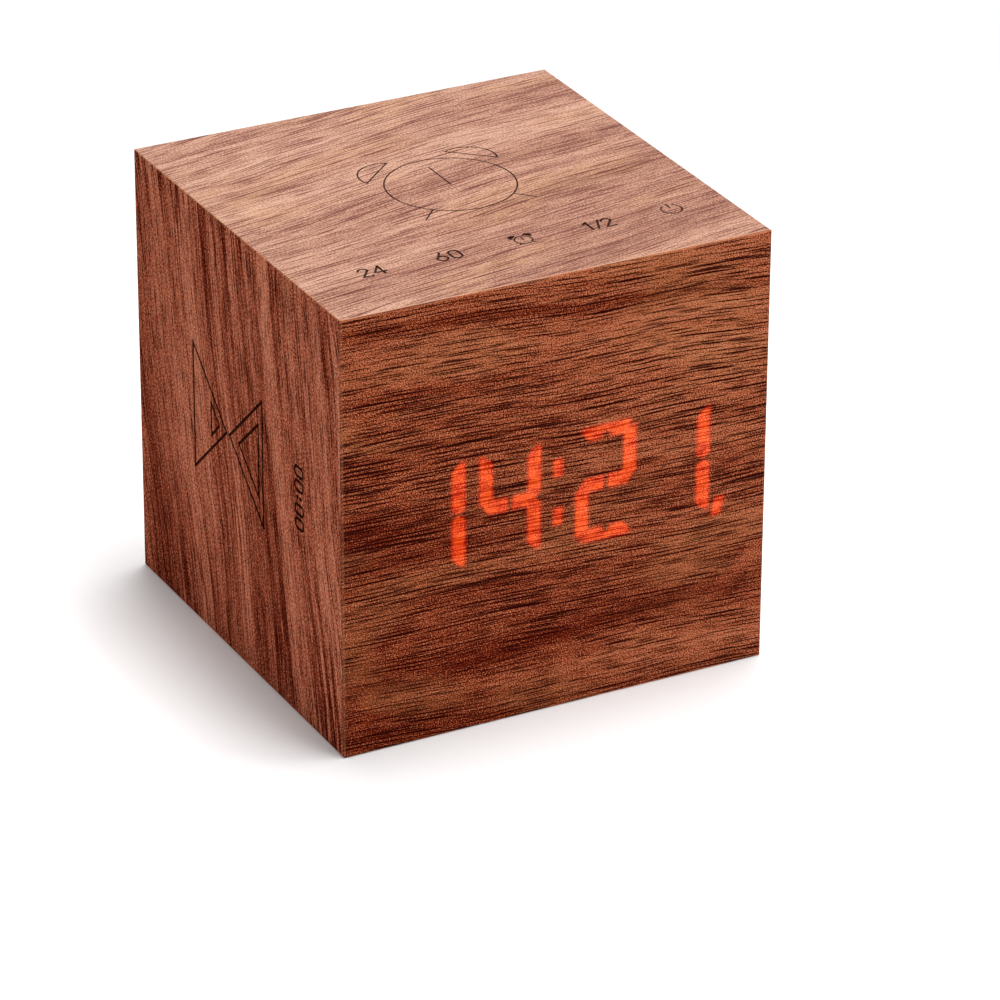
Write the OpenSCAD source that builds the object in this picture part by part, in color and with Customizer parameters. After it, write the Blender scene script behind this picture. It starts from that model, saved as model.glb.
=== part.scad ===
// Cube alarm clock: a box of walnut-veneered boards. Red digits shine through the front
// veneer, touch keys lie under the engraved top, and the charging socket, the power slider
// and the reset button sit in the rear panel.
// Millimetres, +Z up, front face towards -Y, origin at the middle of the base.

/* [Case] */
// Outside length of every edge of the cube
side = 85; // [82:1:110]
// Thickness of the four boards that wrap the case
board_t = 6; // [5:0.5:7]
// Thickness of the veneer that covers the front
veneer_t = 0.6; // [0.4:0.1:1]
// Rounding of the outside edges
edge_r = 0.4; // [0.2:0.1:1]
// Thickness of the rear panel
rear_t = 4; // [3:0.5:6]
// Gap round the rear panel
rear_gap = 0.3; // [0.1:0.1:0.6]
// Section of the corner blocks behind the rear panel
block_w = 9; // [8:0.5:11]
// Length of the corner blocks
block_l = 18; // [14:1:22]

/* [Engraved marks] */
// Width of the grooves of the figures on the top
groove_w = 0.45; // [0.3:0.05:0.6]
// Width of the finer grooves of the alarm and standby signs
sign_groove_w = 0.3; // [0.2:0.05:0.5]
// Width of the grooves on the left side
side_groove_w = 0.6; // [0.4:0.05:0.8]
// Depth of every groove
groove_d = 0.3; // [0.15:0.05:0.6]
// Distance of the marks to the right of the middle of their face
marks_right = 1.4; // [0:0.1:2]
// Distance of the large alarm sign's middle from the front edge
sign_from_front = 44.1; // [42:0.1:48]
// Radius of the sign's dial
sign_r = 12; // [9:0.5:13]
// Length of the sign's hand
sign_hand = 8.5; // [5:0.5:9]
// Angle of the sign's bells and feet from upright
sign_lean = 42.5; // [38:0.5:48]
// Distance from the sign's dial to its bells
bell_gap = 2.2; // [1.5:0.1:3]
// Width of each bell
bell_w = 9.9; // [8:0.1:11]
// Height of each bell
bell_h = 3.4; // [2.5:0.1:4.5]
// Length of each foot
foot_l = 4.5; // [3:0.1:6]
// Distance of the row of touch marks from the front edge
row_from_front = 16.2; // [15:0.1:18]
// Height of the touch marks
mark_h = 3.3; // [2.5:0.1:4]
// Distance of the hourglass's neck from the front edge
glass_from_front = 46.3; // [42:0.1:50]
// Width of the hourglass's ends
glass_w = 25; // [18:0.5:30]
// Height of each bulb of the hourglass
glass_h = 13.8; // [10:0.1:16]
// Distance of the counter mark from the front edge
counter_from_front = 17.1; // [14:0.1:20]

/* [Display] */
// Thickness of the segment plate behind the veneer
plate_t = 4; // [3.5:0.5:6]
// Thickness of the diffuser film
film_t = 0.25; // [0.2:0.05:0.5]
// Height of the display's middle above the middle of the front
display_up = 0.5; // [-4:0.5:4]
// Gap between the display board and the side boards
display_gap = 1.4; // [0.8:0.1:2]
// Distance between the top and bottom bars of a digit
digit_h = 20; // [17:0.5:22]
// Width of a bar
segment_w = 2.6; // [2:0.1:3]
// Gap between bars
segment_gap = 0.5; // [0.3:0.1:0.8]
// Gap between the two digits of a pair
digit_gap = 2.8; // [2:0.1:4]
// Gap between the two pairs of digits
colon_room = 7; // [6:0.1:9]
// Distance between the dots of the colon
colon_spread = 9.4; // [7:0.1:12]
// Width of a dot
dot_w = 2.2; // [1.6:0.1:2.6]
// Height of a dot
dot_h = 3.7; // [2.5:0.1:4]
// Gap between the last digit and the point
point_gap = 0.5; // [0.4:0.1:0.8]
// Lean of the point, each way
point_lean = 0.5; // [0:0.1:0.8]
// Rim of the display board beside the point
display_rim = 0.7; // [0.5:0.1:1]
// Rim of the display board above and below the digits
display_rim_z = 6; // [5:0.5:8]
// Rim of the diffuser film beyond the digits
film_rim = 0.8; // [0.6:0.1:1.2]
// Length of a light-emitting diode
led_l = 1.6; // [1.2:0.1:2]
// Width of a light-emitting diode
led_w = 0.8; // [0.6:0.1:1.2]
// Height of a light-emitting diode
led_h = 0.7; // [0.5:0.1:1]

/* [Circuit boards] */
// Thickness of the display board and the main board
pcb_t = 1.6; // [1:0.2:2]
// Gap between the main board and the corner blocks
board_gap = 1; // [0.5:0.1:2]
// Height of the pillars under the main board
pillar_h = 8; // [7:0.5:10]
// Radius of the pillars
pillar_r = 2.6; // [2.2:0.1:3]
// Room between the display board and the main board
cable_room = 8; // [7:0.5:9]
// Height of the chips
chip_t = 1.5; // [1:0.1:2]
// Length of the display driver
driver_l = 12; // [10:0.5:14]
// Width of the display driver
driver_w = 7; // [6:0.5:8]
// Width of the controller chip
controller_w = 10; // [8:0.5:12]
// Length of the charger chip and the touch chip
chip_l = 5.5; // [4:0.5:7]
// Width of the charger chip and the touch chip
chip_w = 4; // [3:0.5:5]
// Width of a chip's leg
leg_w = 0.4; // [0.3:0.05:0.5]
// Length of a chip's leg
leg_l = 0.9; // [0.6:0.1:1.2]
// Length of the crystal
crystal_l = 5; // [4:0.5:6]
// Width of the crystal
crystal_w = 3.2; // [2.5:0.1:4]
// Length of a capacitor
capacitor_l = 2; // [1.6:0.1:2.4]
// Width of a capacitor
capacitor_w = 1.2; // [0.8:0.1:1.4]
// Distance between capacitors
capacitor_pitch = 3.2; // [2.8:0.1:3.6]
// Free strip beside the parts on the main board
part_room = 3; // [2.5:0.1:4]
// Height of the flat ribbon sockets
socket_h = 2.4; // [2:0.1:3]
// Height of the upright ribbon sockets
tall_socket_h = 4; // [3:0.5:5]
// Depth of the ribbon sockets
socket_d = 4; // [3.5:0.1:5]
// Wall of the ribbon sockets
socket_wall = 1.5; // [1.2:0.1:1.8]
// Depth that the ribbons go into their sockets
ribbon_in = 2.7; // [2:0.1:2.9]
// Gap between a ribbon and its socket
ribbon_gap = 0.05; // [0.03:0.01:0.1]
// Width of the ribbons
ribbon_w = 8; // [6:0.5:9]
// Thickness of the ribbons
ribbon_t = 0.4; // [0.3:0.05:0.6]
// Bend radius of the display ribbon
ribbon_bend = 3; // [2:0.5:3.5]
// Width of the lead headers
header_w = 7; // [6:0.5:8]
// Height of the lead headers
header_h = 4.5; // [4:0.5:5]
// Wall of the lead headers
header_wall = 0.8; // [0.6:0.1:1]
// Gap between a plug and its header
plug_gap = 0.1; // [0.05:0.05:0.2]
// Length of a plug outside its header
plug_out = 0.7; // [0.4:0.1:1.5]
// Distance of each lead from the middle of its pair
lead_pair = 1.25; // [0.9:0.05:1.5]
// Straight end of each lead
lead_end = 1; // [0.5:0.1:2]
// Radius of the leads
lead_r = 0.6; // [0.4:0.05:0.7]
// Bend radius of the leads
lead_bend = 2; // [1.5:0.1:2.5]

/* [Rear ports] */
// Width of the port plate's raised middle
port_w = 37; // [36:0.5:40]
// Height of the port plate's raised middle
port_h = 12; // [11:0.5:14]
// Thickness of the port plate's face
port_wall = 1.6; // [1.2:0.1:2]
// Thickness of the port plate's rim
port_rib = 1.2; // [0.8:0.1:1.4]
// Gap between the port plate and the rear panel
port_gap = 0.15; // [0.1:0.05:0.3]
// Thickness of the port plate's flange
flange_t = 1.5; // [1:0.1:2]
// Overhang of the port plate's flange
flange_lip = 4; // [3.8:0.1:4.5]
// Width of the charging socket
usb_w = 8.94; // [8.5:0.02:9.2]
// Height of the charging socket
usb_h = 3.26; // [3:0.02:3.5]
// Length of the charging socket
usb_l = 7.35; // [6.5:0.05:8]
// Thickness of the charging socket's shell
usb_wall = 0.3; // [0.2:0.05:0.4]
// Gap round the charging socket in the port plate
usb_gap = 0.25; // [0.15:0.05:0.4]
// Distance of the charging socket's mouth inside the rear face
usb_sink = 0.4; // [0.2:0.1:0.6]
// Length of the charging socket's tongue short of its mouth
tongue_sink = 0.5; // [0.4:0.1:1]
// Thickness of the charging socket's tongue
tongue_t = 0.7; // [0.6:0.05:0.8]
// Room beside the outermost ports
port_room = 1.5; // [1:0.1:2]
// Gap between the main board and the port plate
tongue_gap = 0.6; // [0.4:0.1:1]
// Width of the slide switch
slide_switch_w = 8.6; // [7.5:0.1:9]
// Width of the reset switch
reset_switch_w = 5.8; // [5:0.1:6.2]
// Depth of the two switches
switch_d = 3.4; // [3:0.1:4]
// Height of the two switches
switch_h = 4.4; // [4.2:0.1:5]
// Travel of the power slider
slider_travel = 2; // [1.5:0.1:2.5]
// Width of the power slider
slider_w = 3; // [2.4:0.1:3.4]
// Height of the power slider
slider_h = 1.9; // [1.5:0.1:2.2]
// Gap round the power slider
slider_gap = 0.25; // [0.15:0.05:0.4]
// Length of the power slider inside its switch
slider_in = 1.7; // [1.2:0.1:2]
// Depth of the thumb recess round the power slider
thumb_sink = 0.7; // [0.4:0.1:0.9]
// Margin of the thumb recess
thumb_rim = 1.1; // [0.8:0.1:1.5]
// Distance of the slider's and the button's tips inside the rear face
tip_sink = 0.15; // [0.1:0.05:0.3]
// Radius of the reset button
reset_r = 1.3; // [1.1:0.1:1.5]
// Travel of the reset button
reset_travel = 0.5; // [0.3:0.05:0.6]
// Gap round the reset button
reset_gap = 0.2; // [0.1:0.05:0.3]
// Width of the reset button's collar
collar_w = 0.6; // [0.5:0.05:0.7]
// Thickness of the reset button's collar
collar_t = 0.5; // [0.4:0.05:0.7]
// Gap left behind the collar when the button is pressed
collar_gap = 0.4; // [0.3:0.05:0.6]
// Length of the reset button inside its switch
plunger_in = 1.3; // [1:0.1:1.6]

/* [Battery] */
// Length of the battery
cell_l = 40; // [34:0.5:44]
// Width of the battery
cell_w = 30; // [26:0.5:34]
// Thickness of the battery
cell_t = 8; // [7:0.5:9]
// Rounding of the battery's corners
cell_r = 2; // [1:0.5:3]
// Thickness of the battery tray
tray_wall = 1.5; // [1:0.1:2]
// Height of the tray's rim
tray_lip = 5; // [3:0.5:5.5]
// Gap round the battery
tray_gap = 0.4; // [0.2:0.1:0.8]
// Thickness of the adhesive pad under the battery
pad_t = 0.6; // [0.4:0.1:1]
// Height of the tray above the main board
tray_rise = 6.5; // [6:0.5:8]
// Distance of the leads inside the battery's outer face
lead_sink = 2; // [1.5:0.1:2.5]
// Margin of the adhesive pad
pad_rim = 3; // [2:0.5:5]
// Gap between the tray and the display board's screws
tray_front_gap = 1.5; // [1:0.1:3]

/* [Sounder] */
// Radius of the sounder
sounder_r = 12; // [10:0.5:14]
// Depth of the sounder
sounder_h = 8; // [6:0.5:9]
// Thickness of the sounder's wall
sounder_wall = 1.2; // [0.8:0.1:1.6]
// Thickness of the sounding disc
disc_t = 0.4; // [0.3:0.05:0.6]
// Depth of the sounding disc inside the rim
disc_sink = 2; // [1.5:0.1:3]
// Width of the ledge under the sounding disc
disc_ledge = 1; // [0.6:0.1:1.4]
// Gap round the sounding disc
disc_gap = 0.1; // [0.05:0.05:0.2]
// Thickness of the sounder's ears
ear_t = 1.5; // [1.2:0.1:2]
// Depth of the leads' exit below the sounder's middle
lead_drop = 4; // [3:0.5:6]
// Distance of the sounder's plug to the right of the middle
plug_right = 8; // [6:0.5:10]
// Thickness of the sounder's gasket
gasket_t = 1; // [0.6:0.1:1.5]
// Width of the sounder's gasket
gasket_w = 2; // [1.5:0.1:2.5]
// Height of the sounder's middle above the base
sounder_up = 52; // [48:0.5:56]
// Radius of the sound holes
grille_r = 0.8; // [0.5:0.05:1]
// Distance between the rings of sound holes
grille_pitch = 3.6; // [3:0.1:4.2]

/* [Touch board] */
// Wood left above the touch board
touch_cover = 3; // [2:0.1:3.5]
// Width of the touch board
touch_w = 12; // [10:0.5:13]
// Thickness of the touch board
touch_t = 1; // [0.8:0.1:1.6]
// Gap round the touch board
touch_gap = 0.3; // [0.2:0.1:0.5]
// Wood left between the touch board's pocket and the side boards
touch_side = 1.1; // [0.8:0.1:2]
// Rim of the touch board beside the outermost pads
touch_rim = 0.4; // [0.3:0.1:1]
// Radius of the touch pads
pad_r = 3.5; // [2.5:0.1:3.8]
// Thickness of the touch pads
pad_rise = 0.2; // [0.1:0.05:0.3]

/* [Tilt sensor] */
// Radius of the ball
ball_r = 1.2; // [0.9:0.1:1.3]
// Radius of the circle that the ball's middle runs on
track_r = 2.6; // [2.3:0.1:3]
// Gap round the ball
ball_gap = 0.2; // [0.1:0.05:0.25]
// Thickness of the sensor's walls and lid
tilt_wall = 1; // [0.8:0.1:1.4]

/* [Fasteners] */
// Shank radius of the small screws
screw_r = 1; // [0.8:0.05:1.1]
// Head radius of the small screws
head_r = 1.7; // [1.5:0.1:1.8]
// Head height of the small screws
head_h = 1.3; // [1:0.1:1.6]
// Depth that the small screws bite
screw_bite = 2.6; // [2:0.1:2.8]
// Shank radius of the rear panel's screws
rear_screw_r = 1.4; // [1.1:0.05:1.6]
// Head radius of the rear panel's screws
rear_head_r = 2.7; // [2.4:0.1:3]
// Head height of the rear panel's screws
rear_head_h = 1.6; // [1.3:0.1:1.8]
// Length of the rear panel's screws
rear_screw_l = 14; // [11:0.5:16]
// Distance of the rear screws' heads inside the rear face
head_sink = 0.2; // [0.1:0.05:0.4]
// Free end of every screw hole
hole_end = 0.4; // [0.3:0.1:0.8]
// Margin of a screw's head to the edge of its board
screw_edge = 0.7; // [0.5:0.1:1.2]
// Gap between a screw and the hole that it bites in
bite_gap = 0.05; // [0.02:0.01:0.1]
// Gap between a screw and the hole that it passes
pass_gap = 0.2; // [0.1:0.05:0.3]

/* [Hidden] */
$fn = 64;
half = side / 2;
inner = side - 2 * board_t;
in_half = inner / 2;
floor_z = board_t;
ceiling_z = side - board_t;
wrap_y = -half + veneer_t;
plate_back = wrap_y + plate_t;
rear_in = half - rear_t;

// Display
display_z = half + display_up;
display_half_w = in_half - display_gap;
point_half_w = dot_w / 2 + point_lean;
point_x = display_half_w - display_rim - point_half_w;
point_z = -digit_h / 2;
digits_half_w = point_x - point_half_w - point_gap;
digit_w = (2 * digits_half_w - 2 * digit_gap - colon_room) / 4 - segment_w;
digit_x = [
    -digits_half_w + (digit_w + segment_w) / 2,
    -(colon_room + digit_w + segment_w) / 2,
    (colon_room + digit_w + segment_w) / 2,
    digits_half_w - (digit_w + segment_w) / 2
];
display_board_h = digit_h + 2 * display_rim_z;
film_half_w = display_half_w - display_rim / 2;
film_h = digit_h + max(segment_w, dot_h) + 2 * film_rim;
display_back = plate_back + pcb_t;
display_screw_x = display_half_w - head_r - screw_edge;
display_screw_z = display_board_h / 2 - head_r - screw_edge;
display_socket_z = display_z - display_board_h / 2 + screw_edge;

// Rear screws
rear_hole_l = rear_screw_l + head_sink - rear_t + hole_end;

// Main board
main_half_w = in_half - block_w - board_gap;
main_bottom = floor_z + pillar_h;
main_top = main_bottom + pcb_t;
main_front = display_back + cable_room;
main_rear = rear_in - flange_t - head_h - pass_gap;
main_mid = (main_front + main_rear) / 2;
pillar_x = main_half_w - pillar_r - screw_edge;
pillar_y = [main_front + pillar_r + screw_edge, main_rear - pillar_r - screw_edge];
socket_half_w = ribbon_w / 2 + socket_wall;
ribbon_slot_w = ribbon_w + 2 * ribbon_gap;
ribbon_slot_t = ribbon_t + 2 * ribbon_gap;
ribbon_x = pillar_x - pillar_r - part_room - socket_half_w;
display_ribbon_x = -socket_half_w;
controller_room = controller_w / 2 + leg_l + part_room;
ribbon_drop_y = display_back + socket_h / 2;
ribbon_floor_z = main_top + socket_h / 2;

// Rear ports
port_z = main_top + usb_h / 2;
port_in = half - port_wall;
port_half_in = port_w / 2 - port_rib;
tongue_y = port_in - tongue_gap;
tongue_half_w = port_half_in - tongue_gap;
usb_x = -port_half_in + port_room + usb_w / 2;
usb_front = half - usb_sink;
reset_x = port_half_in - port_room - reset_switch_w / 2;
slider_x = (usb_x + usb_w / 2 + reset_x - reset_switch_w / 2) / 2;
collar_front = port_in - reset_gap - collar_t;
switch_front = collar_front - reset_travel - collar_gap;
switch_z = main_top + switch_h / 2;
slot_half_w = (slider_w + slider_travel) / 2 + slider_gap;
slot_half_h = slider_h / 2 + slider_gap;
port_screw_x = (port_w + flange_lip) / 2;

// Battery
tray_front = display_back + head_h + tray_front_gap;
tray_l = cell_l + 2 * tray_gap + 2 * tray_wall;
tray_h = cell_w + 2 * tray_gap + 2 * tray_wall;
tray_mid = tray_front + tray_l / 2;
tray_z = main_top + tray_rise;
tray_x = -in_half;
cell_x = tray_x + tray_wall + pad_t;
cell_z = tray_z + tray_wall + tray_gap;
ear_l = 2 * (head_r + screw_edge);
plug_top = header_wall + header_h + plug_out;
header_x = cell_x + cell_t - lead_sink + lead_bend + lead_end + plug_top;

// Sounder
sounder_rim = rear_in - gasket_t;
sounder_back = sounder_rim - sounder_h;
ear_r = head_r + screw_edge;
ear_x = sounder_r + ear_r;
plug_y = sounder_back - lead_end - lead_bend;

// Touch board
row_y = -half + row_from_front;
touch_half_l = in_half - marks_right - touch_side - touch_gap;
row_pitch = (touch_half_l - pad_r - touch_rim) / 2;
pocket_z = side - touch_cover;
touch_top = pocket_z - pad_rise;
touch_under = touch_top - touch_t;
ribbon_y = row_y + touch_w / 2 - socket_wall - screw_edge;

// Tilt sensor
tilt_cavity_r = track_r + ball_r + ball_gap;
tilt_depth = 2 * (ball_r + ball_gap);
tilt_half_w = tilt_cavity_r + tilt_wall;
tilt_x = main_half_w - tilt_half_w - part_room;
tilt_y = main_mid;
tilt_z = main_top + tilt_half_w;

// Node to draw

// A rectangle with rounded corners, centred
module rounded_square(w, h, r) {
    square([w - 2 * r, h], center = true);
    square([w, h - 2 * r], center = true);
    for (x = [-1, 1], y = [-1, 1])
        translate([x * (w / 2 - r), y * (h / 2 - r)])
            circle(r);
}

// A slot with round ends, centred
module stadium(w, h) {
    square([w - h, h], center = true);
    for (x = [-1, 1])
        translate([x * (w - h) / 2, 0])
            circle(h / 2);
}

// A box given by two opposite corners
module block(a, b) {
    translate(a)
        cube(b - a);
}

// Stands a flat outline up against the plane y, thickened by t towards the front
module upright(y, t) {
    translate([0, y, 0])
        rotate([90, 0, 0])
            linear_extrude(t)
                children();
}

// The whole cube with its eased edges
module envelope() {
    intersection() {
        linear_extrude(side)
            rounded_square(side, side, edge_r);
        translate([0, 0, half])
            rotate([90, 0, 0])
                linear_extrude(side, center = true)
                    rounded_square(side, side, edge_r);
        translate([0, 0, half])
            rotate([0, 90, 0])
                linear_extrude(side, center = true)
                    rounded_square(side, side, edge_r);
    }
}

// Turns what is drawn on the top board onto another side of the wrap
module turned(angle) {
    translate([0, 0, half])
        rotate([0, angle, 0])
            translate([0, 0, -half])
                children();
}

// One mitred board of the wrap, in the top position
module wrap_blank() {
    intersection() {
        upright(half, side - veneer_t)
            polygon([[-half, side], [half, side], [in_half, ceiling_z], [-in_half, ceiling_z]]);
        envelope();
    }
}

// A straight groove line from a to b
module stroke(a, b, w) {
    d = b - a;
    translate(a)
        rotate(atan2(d[1], d[0]))
            translate([-w / 2, -w / 2])
                square([norm(d) + w, w]);
}

// A round groove line of radius r
module ring(r, w) {
    difference() {
        circle(r + w / 2);
        circle(r - w / 2);
    }
}

// The part of a ring to one side of the height cut
module ring_above(r, w, cut) {
    intersection() {
        ring(r, w);
        translate([-2 * r, cut])
            square([4 * r, 4 * r]);
    }
}

// One bell of the alarm sign, standing on its chord at the origin
module bell(w_bell, h_bell, w, filled) {
    r = (w_bell * w_bell / 4 + h_bell * h_bell) / (2 * h_bell);
    translate([0, h_bell - r]) {
        if (filled)
            intersection() {
                circle(r + w / 2);
                translate([-2 * r, r - h_bell])
                    square([4 * r, 4 * r]);
            }
        else
            ring_above(r, w, r - h_bell);
    }
    stroke([-w_bell / 2, 0], [w_bell / 2, 0], w);
}

// An alarm clock with two bells, a hand and two feet
module alarm_sign(r, hand, gap, w_bell, h_bell, foot, w, filled) {
    ring(r, w);
    stroke([0, 0], [0, hand], w);
    for (s = [-1, 1]) {
        rotate(-s * sign_lean)
            translate([0, r + gap])
                bell(w_bell, h_bell, w, filled);
        rotate(s * sign_lean)
            stroke([0, -r], [0, -r - foot], w);
    }
}

// A standby sign: an open ring with a stem
module standby_sign(r, w) {
    difference() {
        ring(r, w);
        translate([-r * 0.45, 0])
            square([r * 0.9, 2 * r]);
    }
    stroke([0, r * 0.25], [0, r * 1.2], w);
}

// The figure 0, standing on the origin
module figure_0(h, w) {
    r = h * 0.28;
    for (s = [-1, 1])
        stroke([s * r, r], [s * r, h - r], w);
    translate([0, h - r])
        ring_above(r, w, 0);
    translate([0, r])
        mirror([0, 1])
            ring_above(r, w, 0);
}

// The figure 1, standing on the origin
module figure_1(h, w) {
    stroke([0, 0], [0, h], w);
    stroke([0, h], [-h * 0.2, h * 0.8], w);
}

// The figure 2, standing on the origin
module figure_2(h, w) {
    r = h * 0.27;
    translate([0, h - r])
        ring_above(r, w, 0);
    stroke([r, h - r], [-r, 0], w);
    stroke([-r, 0], [r, 0], w);
}

// The figure 4, standing on the origin
module figure_4(h, w) {
    stroke([h * 0.15, 0], [h * 0.15, h], w);
    stroke([h * 0.15, h], [-h * 0.32, h * 0.28], w);
    stroke([-h * 0.32, h * 0.28], [h * 0.34, h * 0.28], w);
}

// The figure 6, standing on the origin
module figure_6(h, w) {
    r = h * 0.29;
    translate([0, r])
        ring(r, w);
    stroke([-r, r], [r * 0.4, h], w);
}

// The row of touch marks, its middle at the origin
module touch_marks() {
    translate([-2 * row_pitch, -mark_h / 2]) {
        translate([-mark_h * 0.42, 0])
            figure_2(mark_h, groove_w);
        translate([mark_h * 0.4, 0])
            figure_4(mark_h, groove_w);
    }
    translate([-row_pitch, -mark_h / 2]) {
        translate([-mark_h * 0.42, 0])
            figure_6(mark_h, groove_w);
        translate([mark_h * 0.42, 0])
            figure_0(mark_h, groove_w);
    }
    small_r = mark_h * 0.5;
    alarm_sign(
        small_r, small_r * 0.6, 0.5, small_r * 0.9, small_r * 0.4, small_r * 0.45,
        sign_groove_w, true
    );
    translate([row_pitch, -mark_h / 2]) {
        translate([-mark_h * 0.55, 0])
            figure_1(mark_h, groove_w);
        stroke([-mark_h * 0.2, 0], [mark_h * 0.2, mark_h], groove_w);
        translate([mark_h * 0.6, 0])
            figure_2(mark_h, groove_w);
    }
    translate([2 * row_pitch, 0])
        standby_sign(mark_h * 0.58, sign_groove_w);
}

// A triangle line: base of width b at the height y0, point at the height y1
module triangle_line(b, y0, y1, w) {
    stroke([-b / 2, y0], [b / 2, y0], w);
    for (s = [-1, 1])
        stroke([s * b / 2, y0], [0, y1], w);
}

// The hourglass sign, its neck at the origin
module hourglass_sign() {
    neck = 0.6;
    triangle_line(glass_w, glass_h + neck, neck, side_groove_w);
    triangle_line(glass_w, -glass_h - neck, -neck, side_groove_w);
    triangle_line(glass_w * 0.26, glass_h * 0.51, glass_h * 0.27, side_groove_w);
    triangle_line(glass_w * 0.58, -glass_h * 0.92, -glass_h * 0.33, side_groove_w);
}

// The counter mark 00:00, its middle at the origin
module counter_mark() {
    for (x = [-1.55, -0.7, 0.7, 1.55])
        translate([x * mark_h, -mark_h / 2])
            figure_0(mark_h, side_groove_w);
    for (y = [-0.2, 0.2])
        translate([0, y * mark_h])
            circle(side_groove_w * 0.7);
}

module top_board() {
    color("peru")
        difference() {
            wrap_blank();
            translate([marks_right, -half + sign_from_front, side - groove_d])
                linear_extrude(2)
                    alarm_sign(sign_r, sign_hand, bell_gap, bell_w, bell_h, foot_l, sign_groove_w, false);
            translate([marks_right, row_y, side - groove_d])
                linear_extrude(2)
                    touch_marks();
            block(
                [marks_right - touch_half_l - touch_gap, row_y - touch_w / 2 - touch_gap, ceiling_z - 1],
                [marks_right + touch_half_l + touch_gap, row_y + touch_w / 2 + touch_gap, pocket_z]
            );
        }
}

module bottom_board() {
    color("peru")
        turned(180)
            wrap_blank();
}

module left_board() {
    color("sienna")
        difference() {
            turned(-90)
                difference() {
                    wrap_blank();
                    translate([marks_right, -half + glass_from_front, side - groove_d])
                        linear_extrude(2)
                            hourglass_sign();
                    translate([marks_right, -half + counter_from_front, side - groove_d])
                        linear_extrude(2)
                            counter_mark();
                }
            tray_screw_spots()
                translate([0, 0, -screw_bite - hole_end])
                    cylinder(screw_bite + 1, r = screw_r + bite_gap);
        }
}

module right_board() {
    color("sienna")
        turned(90)
            wrap_blank();
}

module front_veneer() {
    color("saddlebrown")
        intersection() {
            block([-half, -half, 0], [half, wrap_y, side]);
            envelope();
        }
}

// An upright bar of a digit, upper right
module upright_bar() {
    s = segment_w / 2;
    k = segment_gap * 0.71;
    translate([digit_w / 2, 0])
        polygon([
            [s, k / 2],
            [s, digit_h / 2 + s - k],
            [-s, digit_h / 2 - s - k],
            [-s, s + k / 2]
        ]);
}

// The top bar of a digit
module level_bar() {
    s = segment_w / 2;
    k = segment_gap * 0.71;
    translate([0, digit_h / 2])
        polygon([
            [-digit_w / 2 - s + k, s],
            [digit_w / 2 + s - k, s],
            [digit_w / 2 - s - k, -s],
            [-digit_w / 2 + s + k, -s]
        ]);
}

// The middle bar of a digit
module middle_bar() {
    s = segment_w / 2;
    x = digit_w / 2 - segment_gap;
    polygon([[-x, 0], [-x + s, s], [x - s, s], [x, 0], [x - s, -s], [-x + s, -s]]);
}

// All seven bars of a digit
module digit_bars() {
    for (m = [0, 1]) {
        mirror([0, m])
            level_bar();
        for (n = [0, 1])
            mirror([0, m])
                mirror([n, 0])
                    upright_bar();
    }
    middle_bar();
}

// The leaning point after the last digit
module point_outline() {
    polygon([
        [-dot_w / 2 - point_lean, -dot_h / 2],
        [dot_w / 2 - point_lean, -dot_h / 2],
        [dot_w / 2 + point_lean, dot_h / 2],
        [-dot_w / 2 + point_lean, dot_h / 2]
    ]);
}

// Every light opening of the display
module display_outline() {
    for (x = digit_x)
        translate([x, 0])
            digit_bars();
    for (s = [-1, 1])
        translate([0, s * colon_spread / 2])
            square([dot_w, dot_h], center = true);
    translate([point_x, point_z])
        point_outline();
}

// Places its child at each screw of the display board, pointing to the rear
module display_screw_spots() {
    for (x = [-1, 1], z = [-1, 1])
        translate([x * display_screw_x, 0, display_z + z * display_screw_z])
            rotate([-90, 0, 0])
                children();
}

module segment_plate() {
    color("dimgray")
        difference() {
            block([-in_half, wrap_y, floor_z], [in_half, plate_back, ceiling_z]);
            translate([0, 0, display_z]) {
                upright(plate_back + 1, plate_t + 2)
                    display_outline();
                upright(wrap_y + film_t, film_t + 1)
                    square([2 * film_half_w, film_h], center = true);
            }
            display_screw_spots()
                translate([0, 0, plate_back - screw_bite - hole_end])
                    cylinder(screw_bite + 1, r = screw_r + bite_gap);
        }
}

module diffuser_film() {
    color("white")
        translate([0, 0, display_z])
            upright(wrap_y + film_t, film_t)
                square([2 * film_half_w, film_h], center = true);
}

module display_board() {
    color("darkgreen")
        difference() {
            translate([0, 0, display_z])
                upright(display_back, pcb_t)
                    rounded_square(2 * display_half_w, display_board_h, 1);
            display_screw_spots()
                translate([0, 0, plate_back - 1])
                    cylinder(pcb_t + 2, r = screw_r + pass_gap);
        }
}

// One light-emitting diode on the display board's front, at x and z
module led(x, z, l, w) {
    block([x - l / 2, plate_back - led_h, z - w / 2], [x + l / 2, plate_back, z + w / 2]);
}

module display_leds() {
    color("red") {
        for (x = digit_x, s = [-1, 1]) {
            for (row = [-1, 0, 1])
                led(x + s * digit_w / 5, display_z + row * digit_h / 2, led_l, led_w);
            for (t = [-1, 1], u = [0.19, 0.34])
                led(x + s * digit_w / 2, display_z + t * u * digit_h, led_w, led_l);
        }
        for (s = [-1, 1])
            led(0, display_z + s * colon_spread / 2, led_w, led_l);
        led(point_x, display_z + point_z, led_w, led_l);
    }
}

// A flat chip on z = 0 with legs along two sides
module chip(l, w, legs) {
    block([-l / 2, -w / 2, 0], [l / 2, w / 2, chip_t]);
    for (i = [0 : legs - 1], s = [-1, 1])
        translate([(i + 0.5 - legs / 2) * l / legs, s * w / 2, leg_w / 2])
            cube([leg_w, 2 * leg_l, leg_w], center = true);
}

// Lays what stands on z = 0 against the display board's rear
module on_display_back(x, z) {
    translate([x, display_back, z])
        rotate([90, 0, 180])
            children();
}

module display_driver() {
    color("black")
        on_display_back(0, display_z)
            chip(driver_l, driver_w, 10);
}

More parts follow.
